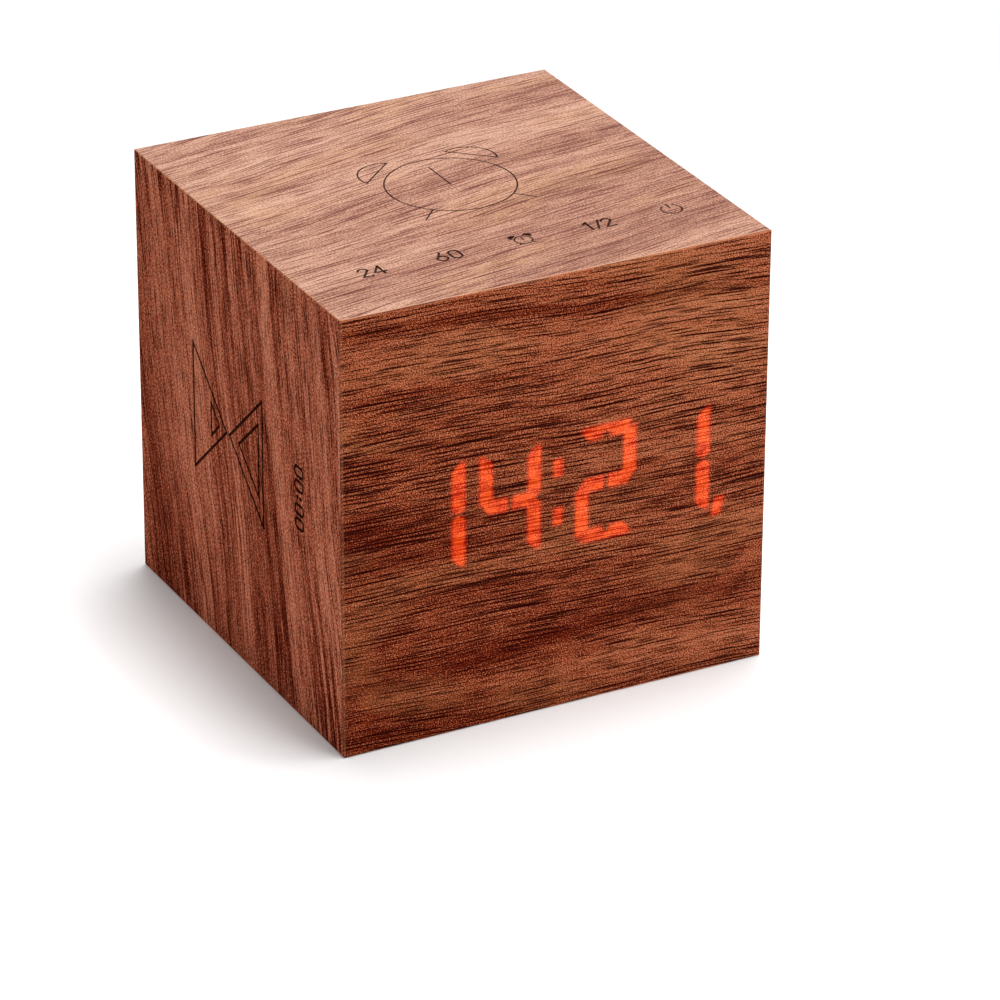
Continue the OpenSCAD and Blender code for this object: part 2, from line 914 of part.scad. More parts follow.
// A flat ribbon socket on z = 0 with its mouth towards -Y
module flat_socket() {
    difference() {
        block([-socket_half_w, 0, 0], [socket_half_w, socket_d, socket_h]);
        block(
            [-ribbon_slot_w / 2, -1, (socket_h - ribbon_slot_t) / 2],
            [ribbon_slot_w / 2, ribbon_in + ribbon_gap, (socket_h + ribbon_slot_t) / 2]
        );
    }
}

// An upright ribbon socket on z = 0 with its mouth at the top
module tall_socket() {
    difference() {
        block([-socket_half_w, -socket_wall, 0], [socket_half_w, socket_wall, tall_socket_h]);
        block(
            [-ribbon_slot_w / 2, -ribbon_slot_t / 2, tall_socket_h - ribbon_in - ribbon_gap],
            [ribbon_slot_w / 2, ribbon_slot_t / 2, tall_socket_h + 1]
        );
    }
}

module display_socket() {
    color("ivory")
        on_display_back(display_ribbon_x, display_socket_z)
            flat_socket();
}

// A pan-head screw: head on z = 0, shank below for the length given
module pan_screw(l) {
    difference() {
        union() {
            cylinder(head_h, r = head_r);
            translate([0, 0, -l])
                cylinder(l + 0.2, r = screw_r);
        }
        translate([0, 0, head_h])
            for (a = [0, 90])
                rotate(a)
                    cube([head_r * 1.2, head_r * 0.3, head_h], center = true);
    }
}

module display_board_screws() {
    color("silver")
        display_screw_spots()
            translate([0, 0, display_back])
                pan_screw(pcb_t + screw_bite);
}

module display_ribbon() {
    color("gainsboro")
        translate([display_ribbon_x, 0, 0])
            rotate([90, 0, 90])
                linear_extrude(ribbon_w, center = true) {
                    translate([ribbon_drop_y - ribbon_t / 2, ribbon_floor_z + ribbon_bend])
                        square([ribbon_t, display_socket_z + ribbon_in - ribbon_floor_z - ribbon_bend]);
                    translate([ribbon_drop_y + ribbon_bend, ribbon_floor_z + ribbon_bend])
                        intersection() {
                            ring(ribbon_bend, ribbon_t);
                            translate([-2 * ribbon_bend, -2 * ribbon_bend])
                                square(2 * ribbon_bend);
                        }
                    translate([ribbon_drop_y + ribbon_bend, ribbon_floor_z - ribbon_t / 2])
                        square([main_front + ribbon_in - ribbon_drop_y - ribbon_bend, ribbon_t]);
                }
}

// Places its child at each corner block's middle line, x and z signs given
module corner_spot(x, z) {
    translate([x * (in_half - block_w / 2), 0, half + z * (in_half - block_w / 2)])
        children();
}

// One corner block with the bore for its screw
module corner_block(x, z) {
    color("burlywood")
        corner_spot(x, z)
            difference() {
                block(
                    [-block_w / 2, rear_in - block_l, -block_w / 2],
                    [block_w / 2, rear_in, block_w / 2]
                );
                translate([0, rear_in + 1, 0])
                    rotate([90, 0, 0])
                        cylinder(rear_hole_l + 1, r = rear_screw_r + bite_gap);
            }
}

module corner_block_upper_left() {
    corner_block(-1, 1);
}

module corner_block_upper_right() {
    corner_block(1, 1);
}

module corner_block_lower_left() {
    corner_block(-1, -1);
}

module corner_block_lower_right() {
    corner_block(1, -1);
}

module rear_panel() {
    color("chocolate")
        difference() {
            translate([0, 0, half])
                upright(half, rear_t)
                    rounded_square(inner - 2 * rear_gap, inner - 2 * rear_gap, 0.8);
            for (x = [-1, 1], z = [-1, 1])
                corner_spot(x, z)
                    translate([0, half, 0])
                        rotate([90, 0, 0]) {
                            translate([0, 0, -1])
                                cylinder(rear_t + 2, r = rear_screw_r + pass_gap);
                            translate([0, 0, -0.01])
                                cylinder(
                                    rear_head_h + pass_gap,
                                    r1 = rear_head_r + pass_gap,
                                    r2 = rear_screw_r + pass_gap
                                );
                        }
            translate([0, 0, port_z])
                upright(half + 1, rear_t + 2)
                    rounded_square(port_w + 2 * port_gap, port_h + 2 * port_gap, 1);
            for (x = [-1, 1])
                translate([x * port_screw_x, rear_in - 1, port_z])
                    rotate([-90, 0, 0])
                        cylinder(screw_bite + hole_end + 1, r = screw_r + bite_gap);
            for (x = [-1, 1])
                translate([x * ear_x, rear_in - 1, sounder_up])
                    rotate([-90, 0, 0])
                        cylinder(screw_bite + hole_end + 1, r = screw_r + bite_gap);
            for (i = [0 : 2])
                for (j = [0 : max(0, 6 * i - 1)])
                    translate([0, rear_in - 1, sounder_up])
                        rotate([0, i == 0 ? 0 : j * 60 / i, 0])
                            translate([i * grille_pitch, 0, 0])
                                rotate([-90, 0, 0])
                                    cylinder(rear_t + 2, r = grille_r);
        }
}

module rear_panel_screws() {
    color("goldenrod")
        for (x = [-1, 1], z = [-1, 1])
            corner_spot(x, z)
                translate([0, half - head_sink, 0])
                    rotate([90, 0, 0])
                        difference() {
                            union() {
                                cylinder(rear_head_h, r1 = rear_head_r, r2 = rear_screw_r);
                                cylinder(rear_screw_l, r = rear_screw_r);
                            }
                            for (a = [0, 90])
                                rotate(a)
                                    cube(
                                        [rear_head_r * 1.2, rear_head_r * 0.26, rear_head_h * 1.1],
                                        center = true
                                    );
                        }
}

module port_plate() {
    color("black")
        difference() {
            translate([0, 0, port_z]) {
                upright(rear_in, flange_t)
                    rounded_square(port_w + 2 * flange_lip, port_h + 1.5 * flange_lip, 1.5);
                upright(half, rear_t + flange_t / 2)
                    rounded_square(port_w, port_h, 1);
            }
            block(
                [-port_w / 2 + port_rib, rear_in - flange_t - 1, port_z - port_h / 2 + port_rib],
                [port_w / 2 - port_rib, port_in, port_z + port_h / 2 - port_rib]
            );
            translate([usb_x, 0, port_z])
                upright(half + 1, port_wall + 2)
                    stadium(usb_w + 2 * usb_gap, usb_h + 2 * usb_gap);
            translate([slider_x, 0, switch_z]) {
                upright(half + 1, port_wall + 2)
                    square([2 * slot_half_w, 2 * slot_half_h], center = true);
                upright(half + 1, thumb_sink + 1)
                    rounded_square(2 * (slot_half_w + thumb_rim), 2 * (slot_half_h + thumb_rim), 0.8);
            }
            translate([reset_x, half + 1, switch_z])
                rotate([90, 0, 0])
                    cylinder(port_wall + 2, r = reset_r + reset_gap);
            for (x = [-1, 1])
                translate([x * port_screw_x, rear_in + 1, port_z])
                    rotate([90, 0, 0])
                        cylinder(flange_t + 2, r = screw_r + pass_gap);
        }
}

module port_plate_screws() {
    color("silver")
        for (x = [-1, 1])
            translate([x * port_screw_x, rear_in - flange_t, port_z])
                rotate([90, 0, 0])
                    pan_screw(flange_t + screw_bite);
}

// Places its child at each pillar of the main board
module pillar_spots() {
    for (x = [-1, 1], y = pillar_y)
        translate([x * pillar_x, y, 0])
            children();
}

module main_board() {
    color("darkgreen")
        difference() {
            union() {
                block([-main_half_w, main_front, main_bottom], [main_half_w, main_rear, main_top]);
                block([-tongue_half_w, main_rear - 1, main_bottom], [tongue_half_w, tongue_y, main_top]);
            }
            pillar_spots()
                translate([0, 0, main_bottom - 1])
                    cylinder(pcb_t + 2, r = screw_r + pass_gap);
        }
}

module main_board_pillars() {
    color("ivory")
        pillar_spots()
            translate([0, 0, floor_z])
                difference() {
                    cylinder(pillar_h, r = pillar_r);
                    translate([0, 0, pillar_h - screw_bite - hole_end])
                        cylinder(screw_bite + 1, r = screw_r + bite_gap);
                }
}

module main_board_screws() {
    color("silver")
        pillar_spots()
            translate([0, 0, main_top])
                pan_screw(pcb_t + screw_bite);
}

module main_display_socket() {
    color("ivory")
        translate([display_ribbon_x, main_front, main_top])
            flat_socket();
}

module main_touch_socket() {
    color("ivory")
        translate([ribbon_x, ribbon_y, main_top])
            tall_socket();
}

module controller_chip() {
    color("black")
        translate([0, main_mid, main_top]) {
            chip(controller_w, controller_w, 12);
            rotate(90)
                chip(controller_w, controller_w, 12);
        }
}

module charger_chip() {
    color("black")
        translate([usb_x, main_rear - usb_l - part_room, main_top])
            chip(chip_l, chip_w, 4);
}

module clock_crystal() {
    color("silver")
        translate([0, main_mid - controller_room - crystal_w / 2, main_top])
            linear_extrude(chip_t)
                rounded_square(crystal_l, crystal_w, 0.6);
}

module chip_capacitors() {
    color("tan")
        for (i = [0 : 5])
            translate([(i - 2.5) * capacitor_pitch, main_mid + controller_room, main_top])
                block([-capacitor_l / 2, 0, 0], [capacitor_l / 2, capacitor_w, capacitor_w]);
}

module charging_socket() {
    color("silver")
        translate([usb_x, 0, port_z]) {
            upright(usb_front, usb_l)
                difference() {
                    stadium(usb_w, usb_h);
                    stadium(usb_w - 2 * usb_wall, usb_h - 2 * usb_wall);
                }
            upright(usb_front - usb_l + 1, 1)
                stadium(usb_w, usb_h);
        }
}

module charging_tongue() {
    color("black")
        block(
            [usb_x - usb_w * 0.37, usb_front - usb_l + 1, port_z - tongue_t / 2],
            [usb_x + usb_w * 0.37, usb_front - tongue_sink, port_z + tongue_t / 2]
        );
}

module slide_switch_body() {
    color("silver")
        translate([slider_x, 0, 0])
            difference() {
                block(
                    [-slide_switch_w / 2, switch_front - switch_d, main_top],
                    [slide_switch_w / 2, switch_front, main_top + switch_h]
                );
                block(
                    [-slot_half_w, switch_front - slider_in - slider_gap, switch_z - slot_half_h],
                    [slot_half_w, switch_front + 1, switch_z + slot_half_h]
                );
            }
}

module power_slider() {
    color("gray")
        translate([slider_x + slider_travel / 2, 0, switch_z])
            difference() {
                block(
                    [-slider_w / 2, switch_front - slider_in, -slider_h / 2],
                    [slider_w / 2, half - tip_sink, slider_h / 2]
                );
                for (x = [-1, 0, 1])
                    translate([x * slider_w * 0.28, half - tip_sink, 0])
                        cube([slider_w * 0.1, 0.4, slider_h * 2], center = true);
            }
}

module reset_switch_body() {
    color("silver")
        translate([reset_x, 0, 0])
            difference() {
                block(
                    [-reset_switch_w / 2, switch_front - switch_d, main_top],
                    [reset_switch_w / 2, switch_front, main_top + switch_h]
                );
                translate([0, switch_front + 1, switch_z])
                    rotate([90, 0, 0])
                        cylinder(
                            plunger_in + reset_travel + collar_gap + 1,
                            r = reset_r * 0.6 + reset_gap
                        );
            }
}

module reset_button() {
    color("gray")
        translate([reset_x, 0, switch_z])
            rotate([-90, 0, 0]) {
                translate([0, 0, switch_front - plunger_in])
                    cylinder(collar_front + collar_t - switch_front + plunger_in, r = reset_r * 0.6);
                translate([0, 0, collar_front])
                    cylinder(collar_t, r = reset_r + collar_w);
                translate([0, 0, collar_front])
                    cylinder(half - tip_sink - collar_front, r = reset_r);
            }
}

module tilt_sensor_case() {
    color("dimgray")
        translate([tilt_x, tilt_y, tilt_z])
            rotate([90, 0, 0])
                difference() {
                    translate([-tilt_half_w, -tilt_half_w, -tilt_depth / 2 - tilt_wall])
                        cube([2 * tilt_half_w, 2 * tilt_half_w, tilt_depth + tilt_wall]);
                    translate([0, 0, -tilt_depth / 2])
                        difference() {
                            cylinder(tilt_depth + 1, r = tilt_cavity_r);
                            translate([0, 0, -1])
                                cylinder(tilt_depth + 1, r = track_r - ball_r - ball_gap);
                        }
                }
}

module tilt_sensor_lid() {
    color("black")
        translate([tilt_x, tilt_y - tilt_depth / 2, tilt_z])
            upright(0, tilt_wall)
                square(2 * tilt_half_w, center = true);
}

module tilt_ball() {
    color("silver")
        translate([tilt_x, tilt_y, tilt_z - track_r])
            sphere(ball_r);
}

// Places its child at the two tray screws, pointing out of the left board
module tray_screw_spots() {
    for (z = [tray_z - ear_l / 2, tray_z + tray_h + ear_l / 2])
        translate([tray_x, tray_mid, z])
            rotate([0, 90, 0])
                children();
}

module battery_tray() {
    color("dimgray")
        difference() {
            union() {
                block(
                    [tray_x, tray_front, tray_z],
                    [tray_x + tray_wall + tray_lip, tray_front + tray_l, tray_z + tray_h]
                );
                block(
                    [tray_x, tray_mid - ear_l / 2, tray_z - ear_l],
                    [tray_x + tray_wall, tray_mid + ear_l / 2, tray_z + tray_h + ear_l]
                );
            }
            block(
                [tray_x + tray_wall, tray_front + tray_wall, tray_z + tray_wall],
                [
                    tray_x + tray_wall + tray_lip + 1,
                    tray_front + tray_l - tray_wall,
                    tray_z + tray_h - tray_wall
                ]
            );
            tray_screw_spots()
                translate([0, 0, -1])
                    cylinder(tray_wall + 2, r = screw_r + pass_gap);
        }
}

module battery_tray_screws() {
    color("silver")
        tray_screw_spots()
            translate([0, 0, tray_wall])
                pan_screw(tray_wall + screw_bite);
}

module battery_pad() {
    color("gray")
        block(
            [tray_x + tray_wall, tray_mid - cell_l / 2 + pad_rim, cell_z + pad_rim],
            [cell_x, tray_mid + cell_l / 2 - pad_rim, cell_z + cell_w - pad_rim]
        );
}

module battery_cell() {
    color("lightsteelblue")
        translate([cell_x, tray_mid, cell_z + cell_w / 2])
            rotate([90, 0, 90])
                linear_extrude(cell_t)
                    rounded_square(cell_l, cell_w, cell_r);
}

// A lead header on z = 0, open at the top
module lead_header() {
    in_w = header_w - 2 * header_wall;
    difference() {
        translate([-header_w / 2, -header_w / 2, 0])
            cube([header_w, header_w, header_h]);
        translate([-in_w / 2, -in_w / 2, header_wall])
            cube([in_w, in_w, header_h]);
    }
}

// The plug that sits in the header
module lead_plug() {
    plug_w = header_w - 2 * header_wall - 2 * plug_gap;
    translate([-plug_w / 2, -plug_w / 2, header_wall])
        cube([plug_w, plug_w, plug_top - header_wall]);
}

// Lays a header or plug down with its mouth towards -X, on the main board
module battery_spot() {
    translate([header_x, tray_mid, main_top + header_w / 2])
        rotate([0, -90, 0])
            children();
}

module battery_header() {
    color("ivory")
        battery_spot()
            lead_header();
}

module battery_plug() {
    color("white")
        battery_spot()
            lead_plug();
}

// A lead that drops by down from the origin, bends and runs on along +X by along
module bent_lead(down, along) {
    translate([0, 0, -down])
        cylinder(down, r = lead_r);
    translate([lead_bend, 0, -down])
        rotate([90, 180, 0])
            rotate_extrude(angle = 90)
                translate([lead_bend, 0])
                    circle(lead_r);
    translate([lead_bend, 0, -down - lead_bend])
        rotate([0, 90, 0])
            cylinder(along, r = lead_r);
}

module battery_leads() {
    color("crimson")
        for (s = [-1, 1])
            translate([cell_x + cell_t - lead_sink, tray_mid + s * lead_pair, cell_z])
                bent_lead(cell_z - main_top - header_w / 2 - lead_bend, lead_end);
}

// Places its child on the rear panel's inside, at the sounder, pointing to the front
module sounder_spot() {
    translate([0, 0, sounder_up])
        rotate([90, 0, 0])
            children();
}

module sounder_case() {
    color("black")
        sounder_spot()
            difference() {
                union() {
                    translate([0, 0, -sounder_rim])
                        cylinder(sounder_h, r = sounder_r);
                    for (s = [-1, 1])
                        translate([s * ear_x, 0, -rear_in])
                            cylinder(gasket_t + ear_t, r = ear_r);
                    translate([-ear_x, -head_r, -sounder_rim])
                        cube([2 * ear_x, 2 * head_r, ear_t]);
                }
                translate([0, 0, -sounder_rim - 1])
                    cylinder(disc_sink + disc_t + 1, r = sounder_r - sounder_wall);
                translate([0, 0, -sounder_rim - 1])
                    cylinder(sounder_h - sounder_wall + 1, r = sounder_r - sounder_wall - disc_ledge);
                for (s = [-1, 1])
                    translate([s * ear_x, 0, -rear_in - 1])
                        cylinder(gasket_t + ear_t + 2, r = screw_r + pass_gap);
            }
}

module sounder_disc() {
    color("gold")
        sounder_spot()
            translate([0, 0, -sounder_rim + disc_sink])
                cylinder(disc_t, r = sounder_r - sounder_wall - disc_gap);
}

module sounder_gasket() {
    color("dimgray")
        sounder_spot()
            translate([0, 0, -rear_in])
                difference() {
                    cylinder(gasket_t, r = sounder_r);
                    translate([0, 0, -1])
                        cylinder(gasket_t + 2, r = sounder_r - gasket_w);
                }
}

module sounder_screws() {
    color("silver")
        sounder_spot()
            for (s = [-1, 1])
                translate([s * ear_x, 0, -sounder_rim + ear_t])
                    pan_screw(gasket_t + ear_t + screw_bite);
}

module sounder_header() {
    color("ivory")
        translate([plug_right, plug_y, main_top])
            lead_header();
}

module sounder_plug() {
    color("white")
        translate([plug_right, plug_y, main_top])
            lead_plug();
}

module sounder_leads() {
    color("crimson")
        for (s = [-1, 1])
            translate([plug_right + s * lead_pair, plug_y, main_top + plug_top])
                mirror([0, 0, 1])
                    rotate(90)
                        bent_lead(sounder_up - lead_drop - lead_bend - main_top - plug_top, lead_end);
}

module touch_board() {
    color("darkgreen")
        block(
            [marks_right - touch_half_l, row_y - touch_w / 2, touch_under],
            [marks_right + touch_half_l, row_y + touch_w / 2, touch_top]
        );
}

module touch_pads() {
    color("orange")
        for (i = [-2 : 2])
            translate([marks_right + i * row_pitch, row_y, touch_top])
                cylinder(pad_rise, r = pad_r);
}

module touch_chip() {
    color("black")
        translate([marks_right - row_pitch / 2, row_y, touch_under])
            mirror([0, 0, 1])
                chip(chip_l, chip_w, 5);
}

module touch_socket() {
    color("ivory")
        translate([ribbon_x, ribbon_y, touch_under])
            mirror([0, 0, 1])
                tall_socket();
}

module touch_ribbon() {
    color("gainsboro")
        block(
            [ribbon_x - ribbon_w / 2, ribbon_y - ribbon_t / 2, main_top + tall_socket_h - ribbon_in],
            [ribbon_x + ribbon_w / 2, ribbon_y + ribbon_t / 2, touch_under - tall_socket_h + ribbon_in]
        );
}

top_board();
bottom_board();
left_board();
right_board();
front_veneer();
segment_plate();
rear_panel();
corner_block_upper_left();
corner_block_upper_right();
corner_block_lower_left();
corner_block_lower_right();
rear_panel_screws();
port_plate();
port_plate_screws();
diffuser_film();
display_board();
display_leds();
display_driver();
display_socket();
display_board_screws();
display_ribbon();
main_board();
main_board_pillars();
main_board_screws();
main_display_socket();
main_touch_socket();
controller_chip();
charger_chip();
clock_crystal();
chip_capacitors();
charging_socket();
charging_tongue();
slide_switch_body();
power_slider();
reset_switch_body();
reset_button();
tilt_sensor_case();
tilt_sensor_lid();
tilt_ball();
battery_tray();
battery_tray_screws();
battery_pad();
battery_cell();
battery_header();
battery_plug();
battery_leads();
sounder_case();
sounder_disc();
sounder_gasket();
sounder_screws();
sounder_header();
sounder_plug();
sounder_leads();
touch_board();
touch_pads();
touch_chip();
touch_socket();
touch_ribbon();
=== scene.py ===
import logging
import math
from dataclasses import dataclass, replace
from enum import Enum
from typing import Any, Optional, Sequence, Union

import bpy
from mathutils import Matrix, Vector


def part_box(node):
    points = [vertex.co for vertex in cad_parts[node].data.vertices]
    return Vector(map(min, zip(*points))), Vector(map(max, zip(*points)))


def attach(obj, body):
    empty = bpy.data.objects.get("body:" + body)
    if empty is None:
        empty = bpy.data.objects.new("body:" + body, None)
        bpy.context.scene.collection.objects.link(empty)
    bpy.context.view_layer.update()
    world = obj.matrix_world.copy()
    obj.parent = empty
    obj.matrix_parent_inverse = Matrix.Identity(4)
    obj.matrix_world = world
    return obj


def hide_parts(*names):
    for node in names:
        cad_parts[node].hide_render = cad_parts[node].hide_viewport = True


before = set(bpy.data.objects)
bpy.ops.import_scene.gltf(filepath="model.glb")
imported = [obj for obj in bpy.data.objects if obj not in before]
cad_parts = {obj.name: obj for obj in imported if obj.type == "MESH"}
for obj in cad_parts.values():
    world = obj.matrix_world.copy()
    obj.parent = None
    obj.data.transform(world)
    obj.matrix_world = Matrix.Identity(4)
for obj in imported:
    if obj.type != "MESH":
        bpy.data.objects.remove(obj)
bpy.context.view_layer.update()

# Finishes and fittings are in millimetres, meshes and the studio in metres.
LOG = logging.getLogger("cube_clock")
MM = 0.001
SIDE = 85.0
HALF = SIDE / 2

Colour = tuple[float, float, float]
Point = tuple[float, float, float]
Socket = bpy.types.NodeSocket
Value = Union["Field", int, float]
WHITE: Colour = (1.0, 1.0, 1.0)
BLACK: Colour = (0.0, 0.0, 0.0)


def paint(red: int, green: int, blue: int) -> Colour:
    """Turns a colour as a screen shows it, 0 to 255, into scene-linear values."""
    shares = (channel / 255 for channel in (red, green, blue))
    return tuple(c / 12.92 if c <= 0.04045 else ((c + 0.055) / 1.055) ** 2.4 for c in shares)


def shade(colour: Colour, gain: float, lift: float = 0.0) -> Colour:
    """A colour with each channel times gain plus lift, at most 1."""
    return tuple(min(1.0, channel * gain + lift) for channel in colour)


def spaced(values: dict[str, Any]) -> dict[str, Any]:
    """Turns each _ in the names of sockets to a space."""
    return {name.replace("_", " "): value for name, value in values.items()}


def add_object(name: str, data: bpy.types.ID) -> bpy.types.Object:
    """Adds an object to the scene.

    Args:
        name: its name.
        data: its mesh, lamp or camera.

    Returns:
        The object.
    """
    made = bpy.data.objects.new(name, data)
    bpy.context.scene.collection.objects.link(made)
    return made


# ---------------------------------------------------------------- node trees


class Field:
    """One number of a node tree, with arithmetic that adds Math nodes."""

    def __init__(self, graph: "Graph", socket: Socket) -> None:
        """Wraps a socket of the graph."""
        self.graph = graph
        self.socket = socket

    def math(self, operation: str, *values: Value) -> "Field":
        """Adds a Math node with this field as its first value.

        Args:
            operation: the Math node's operation.
            values: the second and third values.

        Returns:
            The node's result.
        """
        sockets = dict(enumerate((self, *values)))
        made = self.graph.node("ShaderNodeMath", {"operation": operation}, sockets)
        return Field(self.graph, made.outputs[0])

    def __add__(self, other: Value) -> "Field":
        """This plus other."""
        return self.math("ADD", other)

    def __sub__(self, other: Value) -> "Field":
        """This less other."""
        return self.math("SUBTRACT", other)

    def __rsub__(self, other: float) -> "Field":
        """Other less this."""
        return self.math("MULTIPLY_ADD", -1.0, other)

    def __mul__(self, other: Value) -> "Field":
        """This times other."""
        return self.math("MULTIPLY", other)

    def __truediv__(self, other: Value) -> "Field":
        """This over other."""
        return self.math("DIVIDE", other)

    def __neg__(self) -> "Field":
        """This with its sign turned."""
        return self.math("MULTIPLY", -1.0)

    def __abs__(self) -> "Field":
        """This without its sign."""
        return self.math("ABSOLUTE")

    __radd__ = __add__
    __rmul__ = __mul__

    def least(self, other: Value) -> "Field":
        """The smaller of the two."""
        return self.math("MINIMUM", other)

    def most(self, other: Value) -> "Field":
        """The larger of the two."""
        return self.math("MAXIMUM", other)

    def over(self, limit: Value) -> "Field":
        """1 where this is more than the limit, otherwise 0."""
        return self.math("GREATER_THAN", limit)

    def square(self) -> "Field":
        """This times itself."""
        return self.math("POWER", 2.0)

    def apart(self, other: "Field") -> "Field":
        """How far the point with these two coordinates is from the middle."""
        return (self.square() + other.square()).math("SQRT")

    def bell(self, *others: "Field") -> "Field":
        """1 where this and the others are 0, falling smoothly to 0 all round."""
        total = sum((other.square() for other in others), self.square())
        return (-total).math("EXPONENT")

    def rise(self, low: float, high: float) -> "Field":
        """Goes smoothly from 0 at low to 1 at high, or down where high is the smaller."""
        sockets = {"Value": self, "From Min": low, "From Max": high}
        smooth = {"interpolation_type": "SMOOTHSTEP"}
        return Field(self.graph, self.graph.node("ShaderNodeMapRange", smooth, sockets).outputs[0])


class Graph:
    """A node tree with one method that makes every node."""

    def __init__(self, tree: bpy.types.NodeTree) -> None:
        """Starts from an emptied tree."""
        self.tree = tree
        tree.nodes.clear()

    def node(
        self,
        kind: str,
        settings: Optional[dict[str, Any]] = None,
        sockets: Optional[dict[Union[str, int], Any]] = None,
    ) -> bpy.types.Node:
        """Adds one node.

        Args:
            kind: the node's type.
            settings: its properties, or the stops of a colour ramp.
            sockets: values, fields or output sockets for its inputs.

        Returns:
            The new node.
        """
        made = self.tree.nodes.new(kind)
        for key, value in (settings or {}).items():
            if key == "stops":
                self._stops(made.color_ramp, value)
            else:
                setattr(made, key, value)
        for key, value in (sockets or {}).items():
            self._feed(made.inputs[key], value)
        return made

    def _feed(self, target: Socket, value: Any) -> None:
        """Links a field or socket to an input, or sets the input's own value.

        Args:
            target: the input.
            value: what it gets.
        """
        source = value.socket if isinstance(value, Field) else value
        if isinstance(source, Socket):
            self.tree.links.new(source, target)
        elif target.type == "RGBA" and len(source) == 3:
            target.default_value = (*source, 1.0)
        else:
            target.default_value = source

    @staticmethod
    def _stops(ramp: bpy.types.ColorRamp, stops: Sequence[tuple[float, Colour]]) -> None:
        """Writes a ramp's stops.

        Args:
            ramp: the ramp.
            stops: place and colour of each.
        """
        while len(ramp.elements) < len(stops):
            ramp.elements.new(0.5)
        for element, (place, colour) in zip(ramp.elements, stops):
            element.position = place
            element.color = (*colour, 1.0)

    def split(self, vector: Socket) -> tuple[Field, ...]:
        """Takes a vector apart."""
        parts = self.node("ShaderNodeSeparateXYZ", None, {0: vector})
        return tuple(Field(self, part) for part in parts.outputs)

    def place(self) -> tuple[Field, ...]:
        """The point's own x, y and z in the clock's frame, in millimetres."""
        spot = self.node("ShaderNodeTexCoord").outputs["Object"]
        return tuple(part / MM for part in self.split(spot))

    def vector(self, x: Any, y: Any, z: Any = 0.0) -> Socket:
        """Joins three numbers to a vector."""
        return self.node("ShaderNodeCombineXYZ", None, {0: x, 1: y, 2: z}).outputs[0]

    def noise(
        self, spot: Socket, detail: float = 2.0, rough: float = 0.5, flat: bool = True
    ) -> Field:
        """Soft noise about 0.

        Args:
            spot: the vector to read it at.
            detail: octaves.
            rough: weight of the fine octaves.
            flat: reads only the vector's first two numbers.

        Returns:
            Noise from about -0.5 to 0.5.
        """
        made = self.node(
            "ShaderNodeTexNoise", {"noise_dimensions": "2D" if flat else "3D"},
            {"Vector": spot, "Scale": 1.0, "Detail": detail, "Roughness": rough},
        )
        return Field(self, made.outputs[0]) - 0.5

    def grain(
        self, xyz: Sequence[Field], *size: float, detail: float = 2.0, rough: float = 0.5
    ) -> Field:
        """Soft noise about 0 through a solid.

        Args:
            xyz: the point's coordinates.
            size: length of its swells, one for all three directions or one for each.
            detail: octaves.
            rough: weight of the fine octaves.

        Returns:
            Noise from about -0.5 to 0.5.
        """
        sizes = size * (len(xyz) // len(size))
        spot = self.vector(*(c / s for c, s in zip(xyz, sizes)))
        return self.noise(spot, detail, rough, False)

    def cells(self, spot: Socket, flat: bool = True) -> tuple[Field, Field]:
        """Scattered points.

        Args:
            spot: the vector to read them at.
            flat: reads only the vector's first two numbers.

        Returns:
            Distance to the nearest point, and a number of that point's own.
        """
        made = self.node(
            "ShaderNodeTexVoronoi", {"voronoi_dimensions": "2D" if flat else "3D"},
            {"Vector": spot, "Scale": 1.0},
        )
        parts = self.node("ShaderNodeSeparateColor", None, {0: made.outputs["Color"]})
        return Field(self, made.outputs["Distance"]), Field(self, parts.outputs[0])

    def chance(self, x: Field, y: Field) -> Field:
        """A fixed random number from 0 to 1 for each pair of whole numbers."""
        settings, spot = {"noise_dimensions": "2D"}, {"Vector": self.vector(x, y)}
        return Field(self, self.node("ShaderNodeTexWhiteNoise", settings, spot).outputs["Value"])

    def ramp(self, value: Field, stops: Sequence[tuple[float, Colour]]) -> Socket:
        """Colours a number."""
        return self.node("ShaderNodeValToRGB", {"stops": stops}, {0: value}).outputs[0]

    def mix(self, share: Any, a: Any, b: Any) -> Socket:
        """Blends two colours, with this share of the second."""
        made = self.node("ShaderNodeMix", {"data_type": "RGBA"}, {0: share, 6: a, 7: b})
        return made.outputs[2]

    def bump(self, height: Field, depth: float, strength: float) -> Socket:
        """Tilts the normal by a share of a height field, which times depth is millimetres."""
        sockets = {"Strength": strength, "Distance": depth * MM, "Height": height}
        return self.node("ShaderNodeBump", None, sockets).outputs[0]

    def surface(self, **sockets: Any) -> None:
        """Ends the tree in a Principled shader; names use _ for spaces."""
        shader = self.node("ShaderNodeBsdfPrincipled", None, spaced(sockets))
        self.node("ShaderNodeOutputMaterial", None, {"Surface": shader.outputs[0]})


MADE: dict[str, bpy.types.Material] = {}


class Finish:
    """A named material that its class knows how to draw."""

    name: str

    def draw(self, graph: Graph) -> None:
        """Fills the graph."""
        raise NotImplementedError

    def material(self) -> bpy.types.Material:
        """Makes the material on first use.

        Returns:
            The Blender material.
        """
        made = MADE.get(self.name)
        if made is None:
            made = MADE[self.name] = bpy.data.materials.new(self.name + "_finish")
            made.use_nodes = True
            self.draw(Graph(made.node_tree))
        return made


class Axis(Enum):
    """An axis of the clock's frame."""

    X = 0
    Y = 1
    Z = 2

    def of(self, values: Sequence[Any]) -> Any:
        """The value that belongs to it."""
        return values[self.value]

    def depth(self, xyz: Sequence[Field]) -> Field:
        """How far a point is inside the nearer of the clock's two faces across this axis."""
        middle = HALF if self is Axis.Z else 0.0
        return HALF - abs(self.of(xyz) - middle)


# ---------------------------------------------------------------- wood


